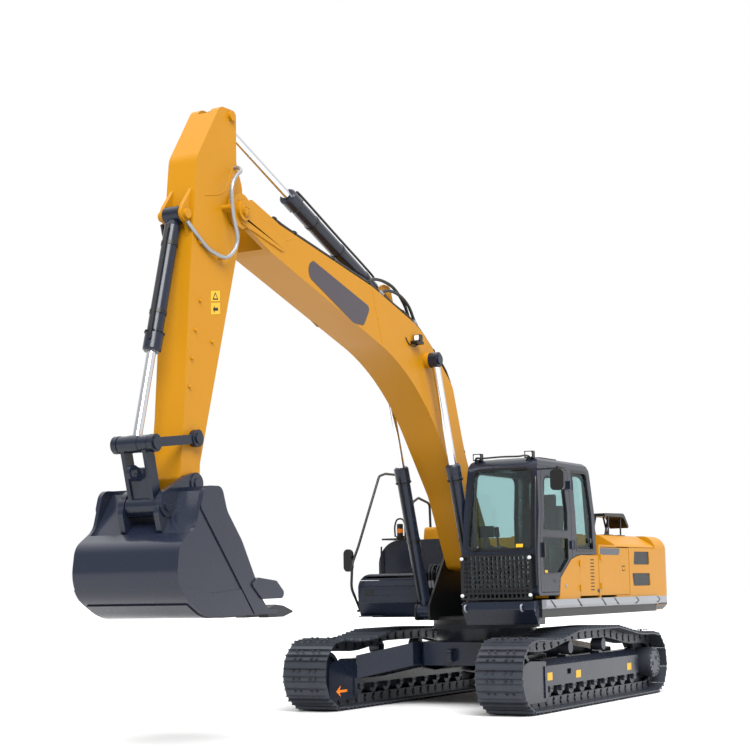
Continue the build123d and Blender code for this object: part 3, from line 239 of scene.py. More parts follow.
# %% [markdown]
# ## Tools for the small parts
#
# Every added piece is a mesh made from arrays of points, with four ways to make one. A prism
# carries an outline along an axis, a band is a flat ring that follows an outline, a turned piece
# spins a profile about a line, and a tube carries a circle along a smoothed path. Blender's own
# primitives could be stretched into some of these, but an outline in real sizes is easier to
# check against the machine.
#
# The first helper turns points and faces into an object that rides on a CAD body.

# %% From points to a piece that rides on a body
AXES = {"x": (1, 2, 0), "y": (0, 2, 1), "z": (0, 1, 2)}
added = []


def rides(name, points, faces, paint, body, smooth=28):
    """Makes the mesh object, paints it and lets it move with a CAD body.

    Faces are turned outward, and edges sharper than smooth degrees stay sharp.
    """
    mesh = bpy.data.meshes.new(name)
    mesh.from_pydata(np.asarray(points, float).tolist(), [], faces)
    mesh.materials.append(paint)
    shape = bmesh.new()
    shape.from_mesh(mesh)
    bmesh.ops.recalc_face_normals(shape, faces=shape.faces)
    shape.to_mesh(mesh)
    shape.free()
    mesh.polygons.foreach_set("use_smooth", [True] * len(mesh.polygons))
    mesh.set_sharp_from_angle(angle=math.radians(smooth))
    obj = bpy.data.objects.new(name, mesh)
    scene.collection.objects.link(obj)
    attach(obj, body)
    added.append(len(mesh.loop_triangles) or len(faces) * 2)
    return obj


# %% [markdown]
# A surface of two parameters is a grid of points: rows in one direction, columns in the other.
# Outlines are the start of most pieces, and each corner of one may have its own radius.

# %% Grids and outlines


def grid_faces(rows, columns, close_rows=False, close_columns=False):
    """The quads of a grid of points, as an array of corner numbers.

    A quad joins each point to the next in its row and to the two beside them in the next row. A
    closed direction also joins the last line of points to the first.
    """
    i = np.arange(rows if close_rows else rows - 1)[:, None]
    j = np.arange(columns if close_columns else columns - 1)[None, :]
    k = (i + 1) % rows
    m = (j + 1) % columns
    quads = np.stack([i * columns + j, i * columns + m, k * columns + m, k * columns + j], axis=-1)
    return quads.reshape(-1, 4)


def rounded(corners, steps=5):
    """An outline from rows of (across, up, radius): each corner becomes an arc of steps points.

    The arc's centre lies on the line that halves the corner, at radius / sin(half the angle), and
    the arc turns from the foot of the centre on one side to its foot on the other.
    """
    rows = np.array([(c[0], c[1], c[2] if len(c) > 2 else 0.0) for c in corners], float)
    here = rows[:, :2]
    before = np.roll(here, 1, axis=0) - here
    after = np.roll(here, -1, axis=0) - here
    before /= np.linalg.norm(before, axis=1)[:, None]
    after /= np.linalg.norm(after, axis=1)[:, None]
    half = np.arccos(np.clip((before * after).sum(1), -0.99999, 0.99999)) / 2
    middle = before + after
    middle /= np.maximum(np.linalg.norm(middle, axis=1), 1e-9)[:, None]
    centre = here + middle * (rows[:, 2] / np.sin(half))[:, None]
    spoke = here + before * (rows[:, 2] / np.tan(half))[:, None] - centre
    way = np.sign(before[:, 0] * after[:, 1] - before[:, 1] * after[:, 0])
    turn = -np.linspace(0, 1, steps)[None, :] * (way * (np.pi - 2 * half))[:, None]
    x = spoke[:, :1] * np.cos(turn) - spoke[:, 1:] * np.sin(turn)
    y = spoke[:, :1] * np.sin(turn) + spoke[:, 1:] * np.cos(turn)
    return (centre[:, None] + np.stack([x, y], axis=-1)).reshape(-1, 2)


def spread(outline, offset):
    """An outline moved outward (or inward) by an offset along its own normals."""
    flow = np.roll(outline, -1, axis=0) - np.roll(outline, 1, axis=0)
    flow /= np.maximum(np.linalg.norm(flow, axis=1), 1e-9)[:, None]
    normal = np.stack([flow[:, 1], -flow[:, 0]], axis=1)
    x, y = outline[:, 0], outline[:, 1]
    area = (x * np.roll(y, -1) - np.roll(x, -1) * y).sum()
    return outline + normal * offset * (1 if area > 0 else -1)


def stand(flat, level, axis):
    """Points of a flat outline stood up across an axis at a level."""
    a, b, c = AXES[axis]
    out = np.zeros((len(flat), 3))
    out[:, a], out[:, b], out[:, c] = flat[:, 0], flat[:, 1], level
    return out


def plate(across, up, radius=0.0):
    """The corners of a rectangle from its two spans, all with one radius."""
    (left, right), (low, high) = across, up
    return [(left, low, radius), (right, low, radius), (right, high, radius), (left, high, radius)]


def many(points, faces, places):
    """The same small mesh at every place, as one list of points and faces."""
    places = np.asarray(places, float).reshape(-1, 3)
    all_points = (np.asarray(points)[None] + places[:, None]).reshape(-1, 3)
    step = len(points)
    all_faces = [[corner + n * step for corner in face] for n in range(len(places)) for face in faces]
    return all_points, all_faces


# %% [markdown]
# Prisms make stickers, plates and blocks, and bands make the rubber seals round windows.

# %% Prisms and bands


def prism(name, corners, low, high, axis, paint, body, places=((0, 0, 0),), steps=5, shape=None):
    """A rounded outline carried along an axis from low to high, at one or many places.

    The outline stands at both levels, quads join the two, and one face closes each end.
    """
    flat = rounded(corners, steps)
    count = len(flat)
    points = np.vstack([stand(flat, low, axis), stand(flat, high, axis)])
    faces = grid_faces(2, count, close_columns=True).tolist()
    faces += [list(range(count))[::-1], list(range(count, 2 * count))]
    points, faces = many(points, faces, places)
    return rides(name, shape(points) if shape else points, faces, paint, body)


def band(name, corners, width, low, high, axis, paint, body, steps=6, shape=None):
    """A flat ring that follows an outline: width wide inward, low to high thick.

    Its section is a rectangle, so it is four copies of the outline joined in a closed grid.
    """
    outer = rounded(corners, steps)
    inner = spread(outer, -width)
    rings = [(outer, low), (outer, high), (inner, high), (inner, low)]
    points = np.vstack([stand(flat, level, axis) for flat, level in rings])
    faces = grid_faces(4, len(outer), True, True).tolist()
    return rides(name, shape(points) if shape else points, faces, paint, body)


# %% [markdown]
# Caps, bosses, rings and bolt heads are turned on a lathe, and hoses and pipes are bent tube, so
# they are made in the same two ways here.

# %% Turned pieces, tubes and bolts


def frame_of(direction):
    """Two directions square to a line, used to place a round section across it."""
    direction = np.asarray(direction, float) / np.linalg.norm(direction)
    helper = np.array([0.0, 0, 1]) if abs(direction[2]) < 0.9 else np.array([1.0, 0, 0])
    first = np.cross(helper, direction)
    first /= np.linalg.norm(first)
    return direction, first, np.cross(direction, first)


def turned(name, profile, start, toward, paint, body, places=((0, 0, 0),), sides=20,
           ring_only=False):
    """A profile of (distance, radius) rows turned about the line from start in a direction.

    Each point is the start, plus its distance along the line, plus its radius times a direction
    that goes once round the line. ring_only joins the last row to the first, so the piece is a
    ring with nothing in its middle.
    """
    along, first, second = frame_of(toward)
    rows = np.array(profile, float)
    angle = np.linspace(0, 2 * np.pi, sides, endpoint=False)
    ring = np.cos(angle)[:, None] * first + np.sin(angle)[:, None] * second
    distance, radius = rows[:, 0][:, None, None], rows[:, 1][:, None, None]
    points = np.asarray(start) + distance * along + radius * ring[None]
    faces = grid_faces(len(rows), sides, close_rows=ring_only, close_columns=True).tolist()
    if not ring_only:
        faces += [list(range(sides))[::-1], list(range((len(rows) - 1) * sides, len(rows) * sides))]
    return rides(name, *many(points.reshape(-1, 3), faces, places), paint, body)


def smooth_path(knots, per_span=8):
    """A curve through the knots (Catmull-Rom), with per_span points from one knot to the next.

    Between two knots it is a cubic whose slope at each knot is half the step from the knot before
    to the knot after, so neighbouring stretches meet without a kink.
    """
    k = np.asarray(knots, float)
    k = np.vstack([2 * k[0] - k[1], k, 2 * k[-1] - k[-2]])
    t = np.linspace(0, 1, per_span, endpoint=False)[None, :, None]
    a, b, c, d = k[:-3, None], k[1:-2, None], k[2:-1, None], k[3:, None]
    square, cube = 2 * a - 5 * b + 4 * c - d, 3 * b - a - 3 * c + d
    path = 0.5 * (2 * b + (c - a) * t + square * t ** 2 + cube * t ** 3)
    return np.vstack([path.reshape(-1, 3), k[-2]])


def tube(name, knots, radius, paint, body, sides=10, per_span=8, straight=False):
    """A round tube through knots, smoothed unless it is straight between them.

    At each point of the path two directions square to it span the circle of the tube's skin.
    """
    path = np.asarray(knots, float) if straight else smooth_path(knots, per_span)
    flow = np.gradient(path, axis=0)
    flow /= np.linalg.norm(flow, axis=1)[:, None]
    helper = np.eye(3)[int(np.argmin(np.abs(flow).max(0)))]
    first = np.cross(flow, helper)
    first /= np.linalg.norm(first, axis=1)[:, None]
    second = np.cross(flow, first)
    angle = np.linspace(0, 2 * np.pi, sides, endpoint=False)
    ring = np.cos(angle)[None, :, None] * first[:, None] + np.sin(angle)[None, :, None] * second[:, None]
    points = (path[:, None] + radius * ring).reshape(-1, 3)
    faces = grid_faces(len(path), sides, close_columns=True).tolist()
    faces += [list(range(sides))[::-1], list(range((len(path) - 1) * sides, len(path) * sides))]
    return rides(name, points, faces, paint, body)


def bolts(name, places, radius, height, axis, paint, body):
    """Six-sided bolt heads that stand on a face, pointing along an axis vector."""
    profile = [(0, radius), (height * 0.8, radius), (height, radius * 0.8)]
    return turned(name, profile, (0, 0, 0), axis, paint, body, places, sides=6)


# %% [markdown]
# Some faces of the CAD model are curved, and a part that lies on one has to find it. A ray is
# sent from outside and lands on the skin of one node, as a plumb line would.

# %% Landing on the CAD model's skin
skins = {}


def land(node, start, toward):
    """The point where a line from a start first meets the skin of a CAD node."""
    if node not in skins:
        mesh = nodes[node].data
        place = np.array(nodes[node].matrix_world)
        flat = np.empty(len(mesh.vertices) * 3)
        mesh.vertices.foreach_get("co", flat)
        points = flat.reshape(-1, 3) @ place[:3, :3].T + place[:3, 3]
        faces = [tuple(face.vertices) for face in mesh.polygons]
        skins[node] = BVHTree.FromPolygons(points.tolist(), faces)
    return np.array(skins[node].ray_cast(Vector(start), Vector(toward).normalized())[0])


# %% [markdown]
# Small parts have to lie on the faces of the CAD model, so those places are written once, in
# metres. A face on the side is given by its distance from the middle, a pin by its x and z.

# %% Faces and pins of the CAD model
CAB_SIDE = 1.45
CAB_FRONT = 1.590
SKIRT_FACE = 1.4985
BOOM_FACE = 0.24
ARM_FACE = 0.172
TRACK_MIDDLE = 1.295
TRACK_FRAME_HALF = 0.15
BOOM_TIP_PIN = (5.9699, 5.2899)
BUCKET_PIN = (6.7763, 2.4907)
SPROCKET = (-1.985, 0.415)
SIDES = (("left", 1), ("right", -1))


def layer(sign, inner, outer):
    """The two levels of a thin layer on the left (1) or right (-1) side, the lower level first."""
    return sorted((sign * inner, sign * outer))


for name in ("boom", "arm", "cab_shell"):
    box = np.array(nodes[name].bound_box) @ np.array(nodes[name].matrix_world)[:3, :3].T
    print(name, "spans", (box.max(0) - box.min(0)).round(3).tolist())

# %% [markdown]
# ## House side
#
# On the machine the silver skirt carries black slashes, some bent into arrows. They are stickers
# a fraction of a millimetre thick. Each is a flat outline carried a little way out of the skirt's
# face, because a real edge stays sharp from close by, where a painted texture would blur.

# %% Slashes on the skirt
SLASH_WIDTH = 0.04
SLASH_LOW, SLASH_BEND, SLASH_HIGH = 1.2055, 1.25, 1.2955
# Each row: x at the top, x at the bottom or at the bend, and x at the bottom of an arrow
slashes = [
    (1.37, 1.22, None), (0.54, 0.40, None), (-0.26, -0.41, None), (-0.70, -0.86, None),
    (-1.50, -1.60, -1.49), (-2.33, -2.43, -2.34),
]
for number, (top, lower, tip) in enumerate(slashes):
    if tip is None:
        front = [(top, SLASH_HIGH), (lower, SLASH_LOW)]
    else:
        front = [(top, SLASH_HIGH), (lower, SLASH_BEND), (tip, SLASH_LOW)]
    back = [(x - SLASH_WIDTH, z) for x, z in reversed(front)]
    prism(f"slash_{number}", front + back, SKIRT_FACE - 0.002, SKIRT_FACE + 0.002, "y", black, "house",
          steps=1)
print(len(slashes), "slashes")

# %% [markdown]
# The silver band runs on round the counterweight, with a black one below it. The counterweight is
# curved, so the bands are found and not drawn: spokes go out from a point inside it, each lands on
# its skin, and every point of the band is lifted off that skin along its spoke.

# %% Bands round the counterweight
TAIL_CENTRE = -2.46


def tail_band(name, levels, paint):
    """A strip laid round the counterweight: each row is a height and how far out it stands there."""
    angle = np.radians(np.linspace(91, 269, 73))
    spokes = np.column_stack([np.cos(angle), np.sin(angle), np.zeros(73)])
    rings = [[land("counterweight", (TAIL_CENTRE, 0, z) + 3 * spoke, -spoke) + out * spoke
              for spoke in spokes] for z, out in levels]
    return rides(name, np.array(rings).reshape(-1, 3), grid_faces(len(levels), 73).tolist(), paint, "house")


tail_band("band_silver", [(1.197, 0.002), (1.20, 0.006), (1.288, 0.006), (1.292, 0.001)], silver)
tail_band("band_black", [(1.11, 0.002), (1.15, 0.003), (1.175, 0.003), (1.199, 0.003)], black)
print("bands round the counterweight")

# %% [markdown]
# The engine breathes through two grilles and a stack of slots. The CAD covers have the openings
# as recesses, and here they get a black lining with a row of bars in front of it.

# %% Grilles and slots
# Each grille: its four corners (x, z)
grilles = [
    [(-1.603, 1.728), (-1.642, 1.897), (-2.197, 1.897), (-2.217, 1.728)],
    [(-1.583, 1.443), (-1.543, 1.607), (-2.212, 1.607), (-2.232, 1.443)],
]
BARS, BAR_STEP = 8, 0.0195
for number, corners in enumerate(grilles):
    prism(f"grille_{number}", [(x, z, 0.016) for x, z in corners], CAB_SIDE - 0.019, CAB_SIDE - 0.012, "y",
          black, "house")
    low = corners[0][1] + 0.016
    prism(f"grille_bars_{number}", plate((-2.195, -1.625), (0.0, 0.007)), CAB_SIDE - 0.013, CAB_SIDE - 0.003,
          "y", cast, "house", [(0, 0, low + BAR_STEP * k) for k in range(BARS)])
SLOTS, SLOT_STEP = 10, 0.042
prism("slot_linings", plate((-0.189, -0.061), (0, 0.0145)), CAB_SIDE - 0.0145, CAB_SIDE - 0.012, "y", black,
      "side_door_front", [(0, 0, 1.3952 + SLOT_STEP * k) for k in range(SLOTS)], steps=1)
print(len(grilles), "grilles and", SLOTS, "slots")

# %% [markdown]
# The grey panel, the handle and the latch sit in shallow pockets of the side doors, so each rides
# on the door that carries it and swings open with it.

# %% Panel, handle, latch, cap and lock
panel = [(-0.404, 1.848, 0.02), (-0.404, 1.934, 0.02), (-1.123, 1.934, 0.02), (-1.06, 1.848, 0.02)]
prism("grey_side_panel", panel, CAB_SIDE - 0.007, CAB_SIDE - 0.0035, "y", grey_panel, "side_door_rear")
prism("handle_pocket", plate((-1.289, -1.171), (1.641, 1.709)), CAB_SIDE - 0.021, CAB_SIDE - 0.018, "y",
      black, "side_door_rear", steps=1)
prism("handle_tongue", plate((-1.275, -1.195), (1.652, 1.696), 0.012), CAB_SIDE - 0.0185, CAB_SIDE - 0.006,
      "y", yellow, "side_door_rear")
prism("latch", plate((-0.345, -0.285), (1.37, 1.41), 0.008), CAB_SIDE - 0.007, CAB_SIDE + 0.004, "y", black,
      "side_door_front")
turned("panel_cap", [(0, 0.034), (0.012, 0.034), (0.016, 0.028)], (-0.067, CAB_SIDE - 0.004, 2.02), (0, 1, 0),
       black, "house", sides=24)
turned("panel_lock", [(0, 0.02), (0.008, 0.02), (0.010, 0.014)], (0.75, CAB_SIDE - 0.002, 1.46), (0, 1, 0),
       silver, "house", sides=16)
print("house side dressed")

# %% [markdown]
# ## Cab
#
# Rubber seals lie round the windows. The cab leans in towards its roof, so a seal drawn flat
# would leave the wall. It is drawn flat all the same, where its outline is easy to write, and
# then a function moves every point onto the leaning wall.

# %% Onto the leaning walls
SIDE_BEND, SIDE_LEAN = 2.35, 0.0743
FRONT_BEND, FRONT_LEAN, LOWER_LEAN = 1.86, 0.1435, 0.0196


def on_side(points):
    """Moves points drawn at the cab's widest side inward: the height over the bend times the lean."""
    out = np.array(points)
    out[:, 1] -= np.maximum(0, out[:, 2] - SIDE_BEND) * SIDE_LEAN
    return out


def on_front(points):
    """Moves points drawn at the cab's front back: their distance from the bend times the lean there."""
    out = np.array(points)
    over = out[:, 2] - FRONT_BEND
    out[:, 0] += np.where(over < 0, over * LOWER_LEAN, -over * FRONT_LEAN)
    return out


print("the windscreen leans", round(math.degrees(math.atan(FRONT_LEAN)), 1), "degrees")

# %% Cab seals

# Each front window: its corners (y, z, radius) and the height of its middle
front_windows = {
    "windscreen": ([(0.53, 1.905, 0.06), (1.372, 1.905, 0.06), (1.35, 2.87, 0.11), (0.565, 2.87, 0.11)], 2.3),
    "lower_screen": (plate((0.53, 1.372), (1.435, 1.835), 0.04), 1.6),
}
CAB_MIDDLE = 0.95
for name, (corners, middle) in front_windows.items():
    wider = [(y + 0.018 * np.sign(y - CAB_MIDDLE), z + 0.016 * np.sign(z - middle), radius + 0.01)
             for y, z, radius in corners]
    band("seal_" + name, wider, 0.03, CAB_FRONT - 0.012, CAB_FRONT + 0.006, "x", black, "house",
         shape=on_front)
quarter = [(0.40, 1.88, 0.05), (0.40, 2.90, 0.07), (-0.12, 2.90, 0.09), (-0.20, 1.88, 0.05)]
band("seal_quarter", quarter, 0.035, CAB_SIDE - 0.02, CAB_SIDE + 0.004, "y", black, "house", shape=on_side)
door_windows = {
    "upper": [(0.645, 2.12, 0.04), (1.395, 2.12, 0.04), (1.275, 2.8, 0.15), (0.645, 2.8, 0.05)],
    "lower": [(0.645, 1.775, 0.03), (0.905, 1.61, 0.03), (1.41, 1.6, 0.04), (1.405, 2.05, 0.03),
              (0.645, 2.05, 0.03)],
}
for name, corners in door_windows.items():
    band("seal_door_" + name, corners, 0.014, CAB_SIDE - 0.03, CAB_SIDE + 0.003, "y", black, "cab_door",
         shape=on_side)
print(len(front_windows) + len(door_windows) + 1, "seals")

# %% [markdown]
# The wiper is three pieces: a motor that is turned, an arm with one bend and a blade that lies
# along the leaning glass. The arm is left straight between its points, as pressed steel is.

# %% Wiper and windscreen label
wiper = on_front([(CAB_FRONT + 0.03, 0.66, 1.93), (CAB_FRONT + 0.04, 0.64, 2.10),
                  (CAB_FRONT + 0.035, 0.60, 2.42)])
tube("wiper_arm", wiper, 0.007, black, "house", straight=True, sides=8)
blade = on_front([(CAB_FRONT + 0.018, 0.625, 2.12), (CAB_FRONT + 0.018, 0.60, 2.72)])
tube("wiper_blade", blade, 0.008, black, "house", straight=True, sides=8)
turned("wiper_motor", [(0, 0.03), (0.03, 0.03), (0.04, 0.02)], (CAB_FRONT - 0.005, 0.66, 1.925), (1, 0, 0),
       black, "house", sides=14)
prism("windscreen_label", plate((1.17, 1.26), (1.925, 1.965)), CAB_FRONT + 0.001, CAB_FRONT + 0.003, "x",
      label, "house", steps=1, shape=on_front)
print("wiper and label")

# %% [markdown]
# Four white caps close the guard's bolts. The lamps on the roof share a bent rail, and a hatch
# lies behind it.

# %% Guard caps, roof lamps and hatch
cap_places = [(0, y, z) for z in (1.80, 1.36) for y in (0.485, 1.375)]
turned("guard_caps", [(0, 0.022), (0.016, 0.022), (0.024, 0.014)], (1.657, 0, 0), (1, 0, 0), white, "house",
       cap_places, sides=16)
rail = [(1.37, 0.56, 3.0), (1.41, 0.60, 3.03), (1.44, 0.70, 3.02), (1.44, 0.95, 3.025), (1.44, 1.17, 3.02),
        (1.41, 1.26, 3.03), (1.37, 1.31, 3.0)]
tube("lamp_rail", rail, 0.011, black, "house", sides=8)
prism("lamp_lenses", plate((-0.042, 0.042), (-0.03, 0.03), 0.012), 1.384, 1.3865, "x", lens, "house",
      [(0, 0.59, 3.042), (0, 1.28, 3.042)])
prism("roof_hatch", plate((0.45, 1.05), (0.62, 1.27), 0.08), 3.008, 3.03, "z", black, "house")
print("guard caps, lamps and hatch")

# %% [markdown]
# Under the cab a bright edge and two hooks finish the sill. A hand rail runs up the front pillar,
# and the door has a plate, a label and a handle. Plate and label are blank.

# %% Sill, rail and door fittings
prism("sill_edge", plate((0.46, 1.35), (1.255, 1.262)), 1.6395, 1.6425, "x", silver, "house", steps=1)
for side, y in (("right", 0.52), ("left", 1.256)):
    hook = [(1.64, y, 1.17), (1.68, y, 1.19), (1.685, y, 1.235), (1.65, y, 1.25)]
    tube("sill_hook_" + side, hook, 0.011, silver, "house", sides=8)
pillar_rail = [(1.58, 1.42, 1.46), (1.615, 1.44, 1.52), (1.62, 1.44, 1.9), (1.575, 1.43, 2.35),
               (1.515, 1.42, 2.72), (1.48, 1.40, 2.76)]
tube("pillar_rail", pillar_rail, 0.012, black, "house", sides=8)
prism("cab_badge_plate", plate((1.06, 1.13), (1.50, 1.54), 0.01), CAB_SIDE - 0.001, CAB_SIDE + 0.002, "y",
      black, "cab_door")
prism("door_label", plate((1.26, 1.37), (1.605, 1.65)), CAB_SIDE - 0.024, CAB_SIDE - 0.0185, "y", label,
      "cab_door", steps=1)
prism("door_handle", plate((1.40, 1.44), (1.80, 1.98), 0.01), CAB_SIDE, CAB_SIDE + 0.028, "y", black,
      "cab_door")
print("cab front dressed")

# %% [markdown]
# Through the glass one sees a monitor, the travel pedals and their levers. Behind a tinted pane
# simple forms are enough, as long as they stand at the right places.

# %% Inside the cab
prism("monitor", plate((-0.10, 0.10), (-0.07, 0.07), 0.015), 1.30, 1.335, "x", black, "house",
      [(0, 0.66, 2.13)])
stalk = [(1.32, 0.66, 2.07), (1.34, 0.63, 1.90), (1.36, 0.60, 1.70)]
tube("monitor_stalk", stalk, 0.018, black, "house", sides=8)
pedal = [(1.30, 1.42), (1.44, 1.47), (1.435, 1.485), (1.295, 1.435)]
knob = [(0, 0.012), (0.02, 0.022), (0.05, 0.02), (0.06, 0.01)]
for name, y in (("left", 1.06), ("right", 0.84)):
    prism("pedal_" + name, pedal, y - 0.05, y + 0.05, "y", black, "house", steps=1)
    tube("pedal_lever_" + name, [(1.38, y, 1.46), (1.40, y, 1.65), (1.34, y, 1.92)], 0.012, black, "house",
         sides=8)
    turned("lever_knob_" + name, knob, (1.34, y, 1.90), (-0.3, 0, 1), black, "house", sides=12)
print("cab inside dressed")

# %% [markdown]
# ## Boom
#
# A dark panel without lettering lies on each side of the boom. Where plates of the boom were
# joined, a weld bead shows, and a doubling plate strengthens each side of the tip. The beads are
# thin tubes half sunk in the face, which is what a weld looks like from a step away.

# %% Boom panels, weld seams and tip plates
panel = [(4.86, 4.875, 0.11), (4.60, 5.005, 0.07), (3.36, 4.665, 0.05), (3.52, 4.43, 0.10),
         (3.75, 4.435, 0.10)]
tip_plate = [(6.05, 5.40, 0.12), (6.05, 5.17, 0.12), (5.20, 4.99, 0.05), (5.15, 5.13, 0.05)]
# Each seam: its two ends (x, z)
seams = [
    [(5.22, 5.10), (5.02, 5.18)], [(3.30, 4.86), (3.10, 4.28)], [(1.35, 3.80), (1.95, 3.52)],
    [(0.62, 2.35), (1.00, 2.18)],
]
for side, sign in SIDES:
    low, high = layer(sign, BOOM_FACE - 0.001, BOOM_FACE + 0.0025)
    prism("boom_panel_" + side, panel, low, high, "y", decal, "boom", steps=8)
for number, ((x1, z1), (x2, z2)) in enumerate(seams):
    for side, sign in SIDES:
        y = sign * (BOOM_FACE - 0.0005)
        tube(f"boom_seam_{number}_{side}", [(x1, y, z1), (x2, y, z2)], 0.005, yellow, "boom", straight=True,
             sides=8)
for side, sign in SIDES:
    low, high = layer(sign, BOOM_FACE - 0.0015, BOOM_FACE + 0.011)
    prism("boom_tip_plate_" + side, tip_plate, low, high, "y", yellow, "boom", steps=8)
print(len(seams), "seams a side")

# %% [markdown]
# The pin at the tip is held by a ring of bolts. Bolt heads on a circle are one formula: the same
# head at equal angles.

# %% Bolts of the tip pin
TIP_BOLTS, TIP_BOLT_RING, TIP_BOSS_FACE = 8, 0.042, 0.299
angle = np.linspace(0, 2 * np.pi, TIP_BOLTS, endpoint=False)
for side, sign in SIDES:
    ring = np.column_stack([BOOM_TIP_PIN[0] + TIP_BOLT_RING * np.cos(angle),
                            np.full(TIP_BOLTS, sign * TIP_BOSS_FACE),
                            BOOM_TIP_PIN[1] + TIP_BOLT_RING * np.sin(angle)])
    bolts("tip_pin_bolts_" + side, ring, 0.009, 0.010, (0, sign, 0), yellow, "boom")
print(TIP_BOLTS, "bolts a side")

# %% [markdown]
# One work lamp stands on the left side: a foot, a housing, a lens and the cable to it.

# %% Boom lamp
prism("boom_lamp", plate((2.27, 2.35), (4.395, 4.475), 0.02), 0.255, 0.34, "y", black, "boom")
prism("boom_lamp_lens", plate((0.265, 0.33), (4.405, 4.465), 0.01), 2.349, 2.353, "x", lens, "boom")
prism("boom_lamp_foot", plate((2.22, 2.40), (4.36, 4.40), 0.02), 0.235, 0.33, "y", black, "boom")
lamp_cable = [(2.30, 0.30, 4.37), (2.36, 0.27, 4.33), (2.46, 0.246, 4.36), (2.52, 0.243, 4.42)]
tube("boom_lamp_cable", lamp_cable, 0.008, rubber, "boom", sides=8)
print("boom lamp placed")

# %% [markdown]
# Oil reaches the arm and bucket through steel pipes on the boom's back, held by clamps. The back
# is cranked, so each point of a pipe is landed on it from above and then lifted off square to the
# slope there. That keeps a pipe at one height over every part of the crank.

# %% Pipes along the back of the boom
PIPE_HEIGHT, CLAMP_HEIGHT = 0.035, 0.03
stations = [0.75, 1.00, 1.35, 1.75, 2.25, 2.75, 3.30, 3.90, 4.50, 5.10, 5.36]
clamp_stations = [1.00, 1.75, 2.50, 3.30, 4.10, 4.90, 5.30]


def back_of_boom(x, y, lift):
    """A point over the back of the boom, lifted off it square to the slope there."""
    here, ahead = land("boom", (x, y, 9), (0, 0, -1)), land("boom", (x + 0.02, y, 9), (0, 0, -1))
    slope = ahead - here
    normal = np.array([-slope[2], 0, slope[0]]) / np.hypot(slope[0], slope[2])
    return here + lift * normal


for side, sign in SIDES:
    for number, y in enumerate((0.165, 0.207)):
        knots = [back_of_boom(x, sign * y, PIPE_HEIGHT) for x in stations]
        tube(f"pipe_{side}_{number}", knots, 0.016, black, "boom", sides=10, per_span=4)
    for number, x in enumerate(clamp_stations):
        middle = back_of_boom(x, sign * 0.186, CLAMP_HEIGHT)
        ahead_of_it = back_of_boom(x + 0.03, sign * 0.186, CLAMP_HEIGHT)
        turned(f"pipe_clamp_{side}_{number}", [(0, 0.045), (0.03, 0.045)], middle, ahead_of_it - middle,
               black, "boom", sides=8)
print("pipes with", len(clamp_stations), "clamps a side")

# %% [markdown]
# Hoses loop from the pipes to the arm cylinder, because the cylinder swings a little as it works.
# A loop is a few knots, given as a station on the boom and a height over it, and a smooth curve
# joins them. Both its ends are fixed to pipes on the same body, so it keeps its shape.

# %% Hoses that loop between the pipes
# Each loop: its distance from the middle, then (x, height over the back) for each knot
loops = [
    (0.165, [(3.30, 0.05), (3.18, 0.16), (2.95, 0.24), (2.70, 0.26), (2.45, 0.18), (2.30, 0.06)]),
    (0.207, [(3.05, 0.05), (2.88, 0.15), (2.65, 0.20), (2.42, 0.17), (2.25, 0.06)]),
    (-0.165, [(3.30, 0.05), (3.15, 0.15), (2.92, 0.20), (2.68, 0.22), (2.42, 0.16), (2.25, 0.06)]),
    (-0.207, [(2.10, 0.05), (1.90, 0.16), (1.62, 0.18), (1.42, 0.13), (1.25, 0.05)]),
]
for number, (y, rows) in enumerate(loops):
    knots = [back_of_boom(x, y, lift) for x, lift in rows]
    tube(f"boom_loop_{number}", knots, 0.019, rubber, "boom", sides=10)
hose_end = [(-0.05, 0.021), (-0.01, 0.021), (-0.01, 0.028), (0.02, 0.028), (0.02, 0.021), (0.05, 0.021)]
for number, (x, y) in enumerate(((3.31, 0.165), (3.06, 0.207), (2.28, 0.165), (2.23, 0.207))):
    middle = back_of_boom(x, y, 0.04)
    turned(f"hose_end_{number}", hose_end, middle, back_of_boom(x + 0.03, y, 0.04) - middle, silver, "boom",
           sides=12)
print(len(loops), "loops on the boom")

# %% [markdown]
# Four more hoses stand beside the boom's foot. They ride on the house, so they are kept out of
# the space that the lowered boom and the raised cylinder sweep.

# %% Hoses beside the boom's foot
for number, y in enumerate((-0.275, -0.32, -0.39, -0.435)):
    knots = [(0.72, y, 1.42), (0.76, y, 1.56), (0.745, y, 1.70), (0.64, y, 1.75), (0.51, y, 1.62)]
    tube(f"foot_hose_{number}", knots, 0.013, rubber, "house", sides=10)
    turned(f"foot_crimp_{number}", [(0, 0.018), (0.09, 0.018)], (0.734, y, 1.47), (0.29, 0, 1), silver,
           "house", sides=12)
print("foot hoses placed")

# %% [markdown]
# ## Arm
#
# A braided hose loops beside the arm to the bucket cylinder, held by clips. It stands further out
# than the boom's side plates wherever the arm's swing would take it past them.

# %% Arm hoses and clips
# Each knot: x, distance from the middle, z
arm_loop = [
    (6.00, 0.165, 5.74), (6.01, 0.23, 5.73), (6.05, 0.28, 5.68), (6.14, 0.287, 5.61), (6.21, 0.287, 5.50),
    (6.22, 0.287, 5.35), (6.19, 0.287, 5.18), (6.125, 0.287, 4.98), (6.165, 0.27, 4.84), (6.275, 0.235, 4.76),
    (6.50, 0.20, 4.81), (6.68, 0.19, 4.92), (6.79, 0.15, 5.04),
]
# Each clip: x, z and how far it stands out of the arm
clips = [(6.215, 5.28, 0.11), (6.28, 4.765, 0.06), (6.62, 4.87, 0.025)]
for side, sign in SIDES:
    tube("arm_loop_" + side, [(x, sign * y, z) for x, y, z in arm_loop], 0.02, braid if sign > 0 else rubber,
         "arm", sides=12)
    for number, (x, z, tall) in enumerate(clips):
        turned(f"arm_hose_clip_{side}_{number}", [(0, 0.028), (tall, 0.028)], (x, sign * ARM_FACE, z),
               (0, sign, 0), yellow, "arm", sides=12)
print(len(clips), "clips a side")

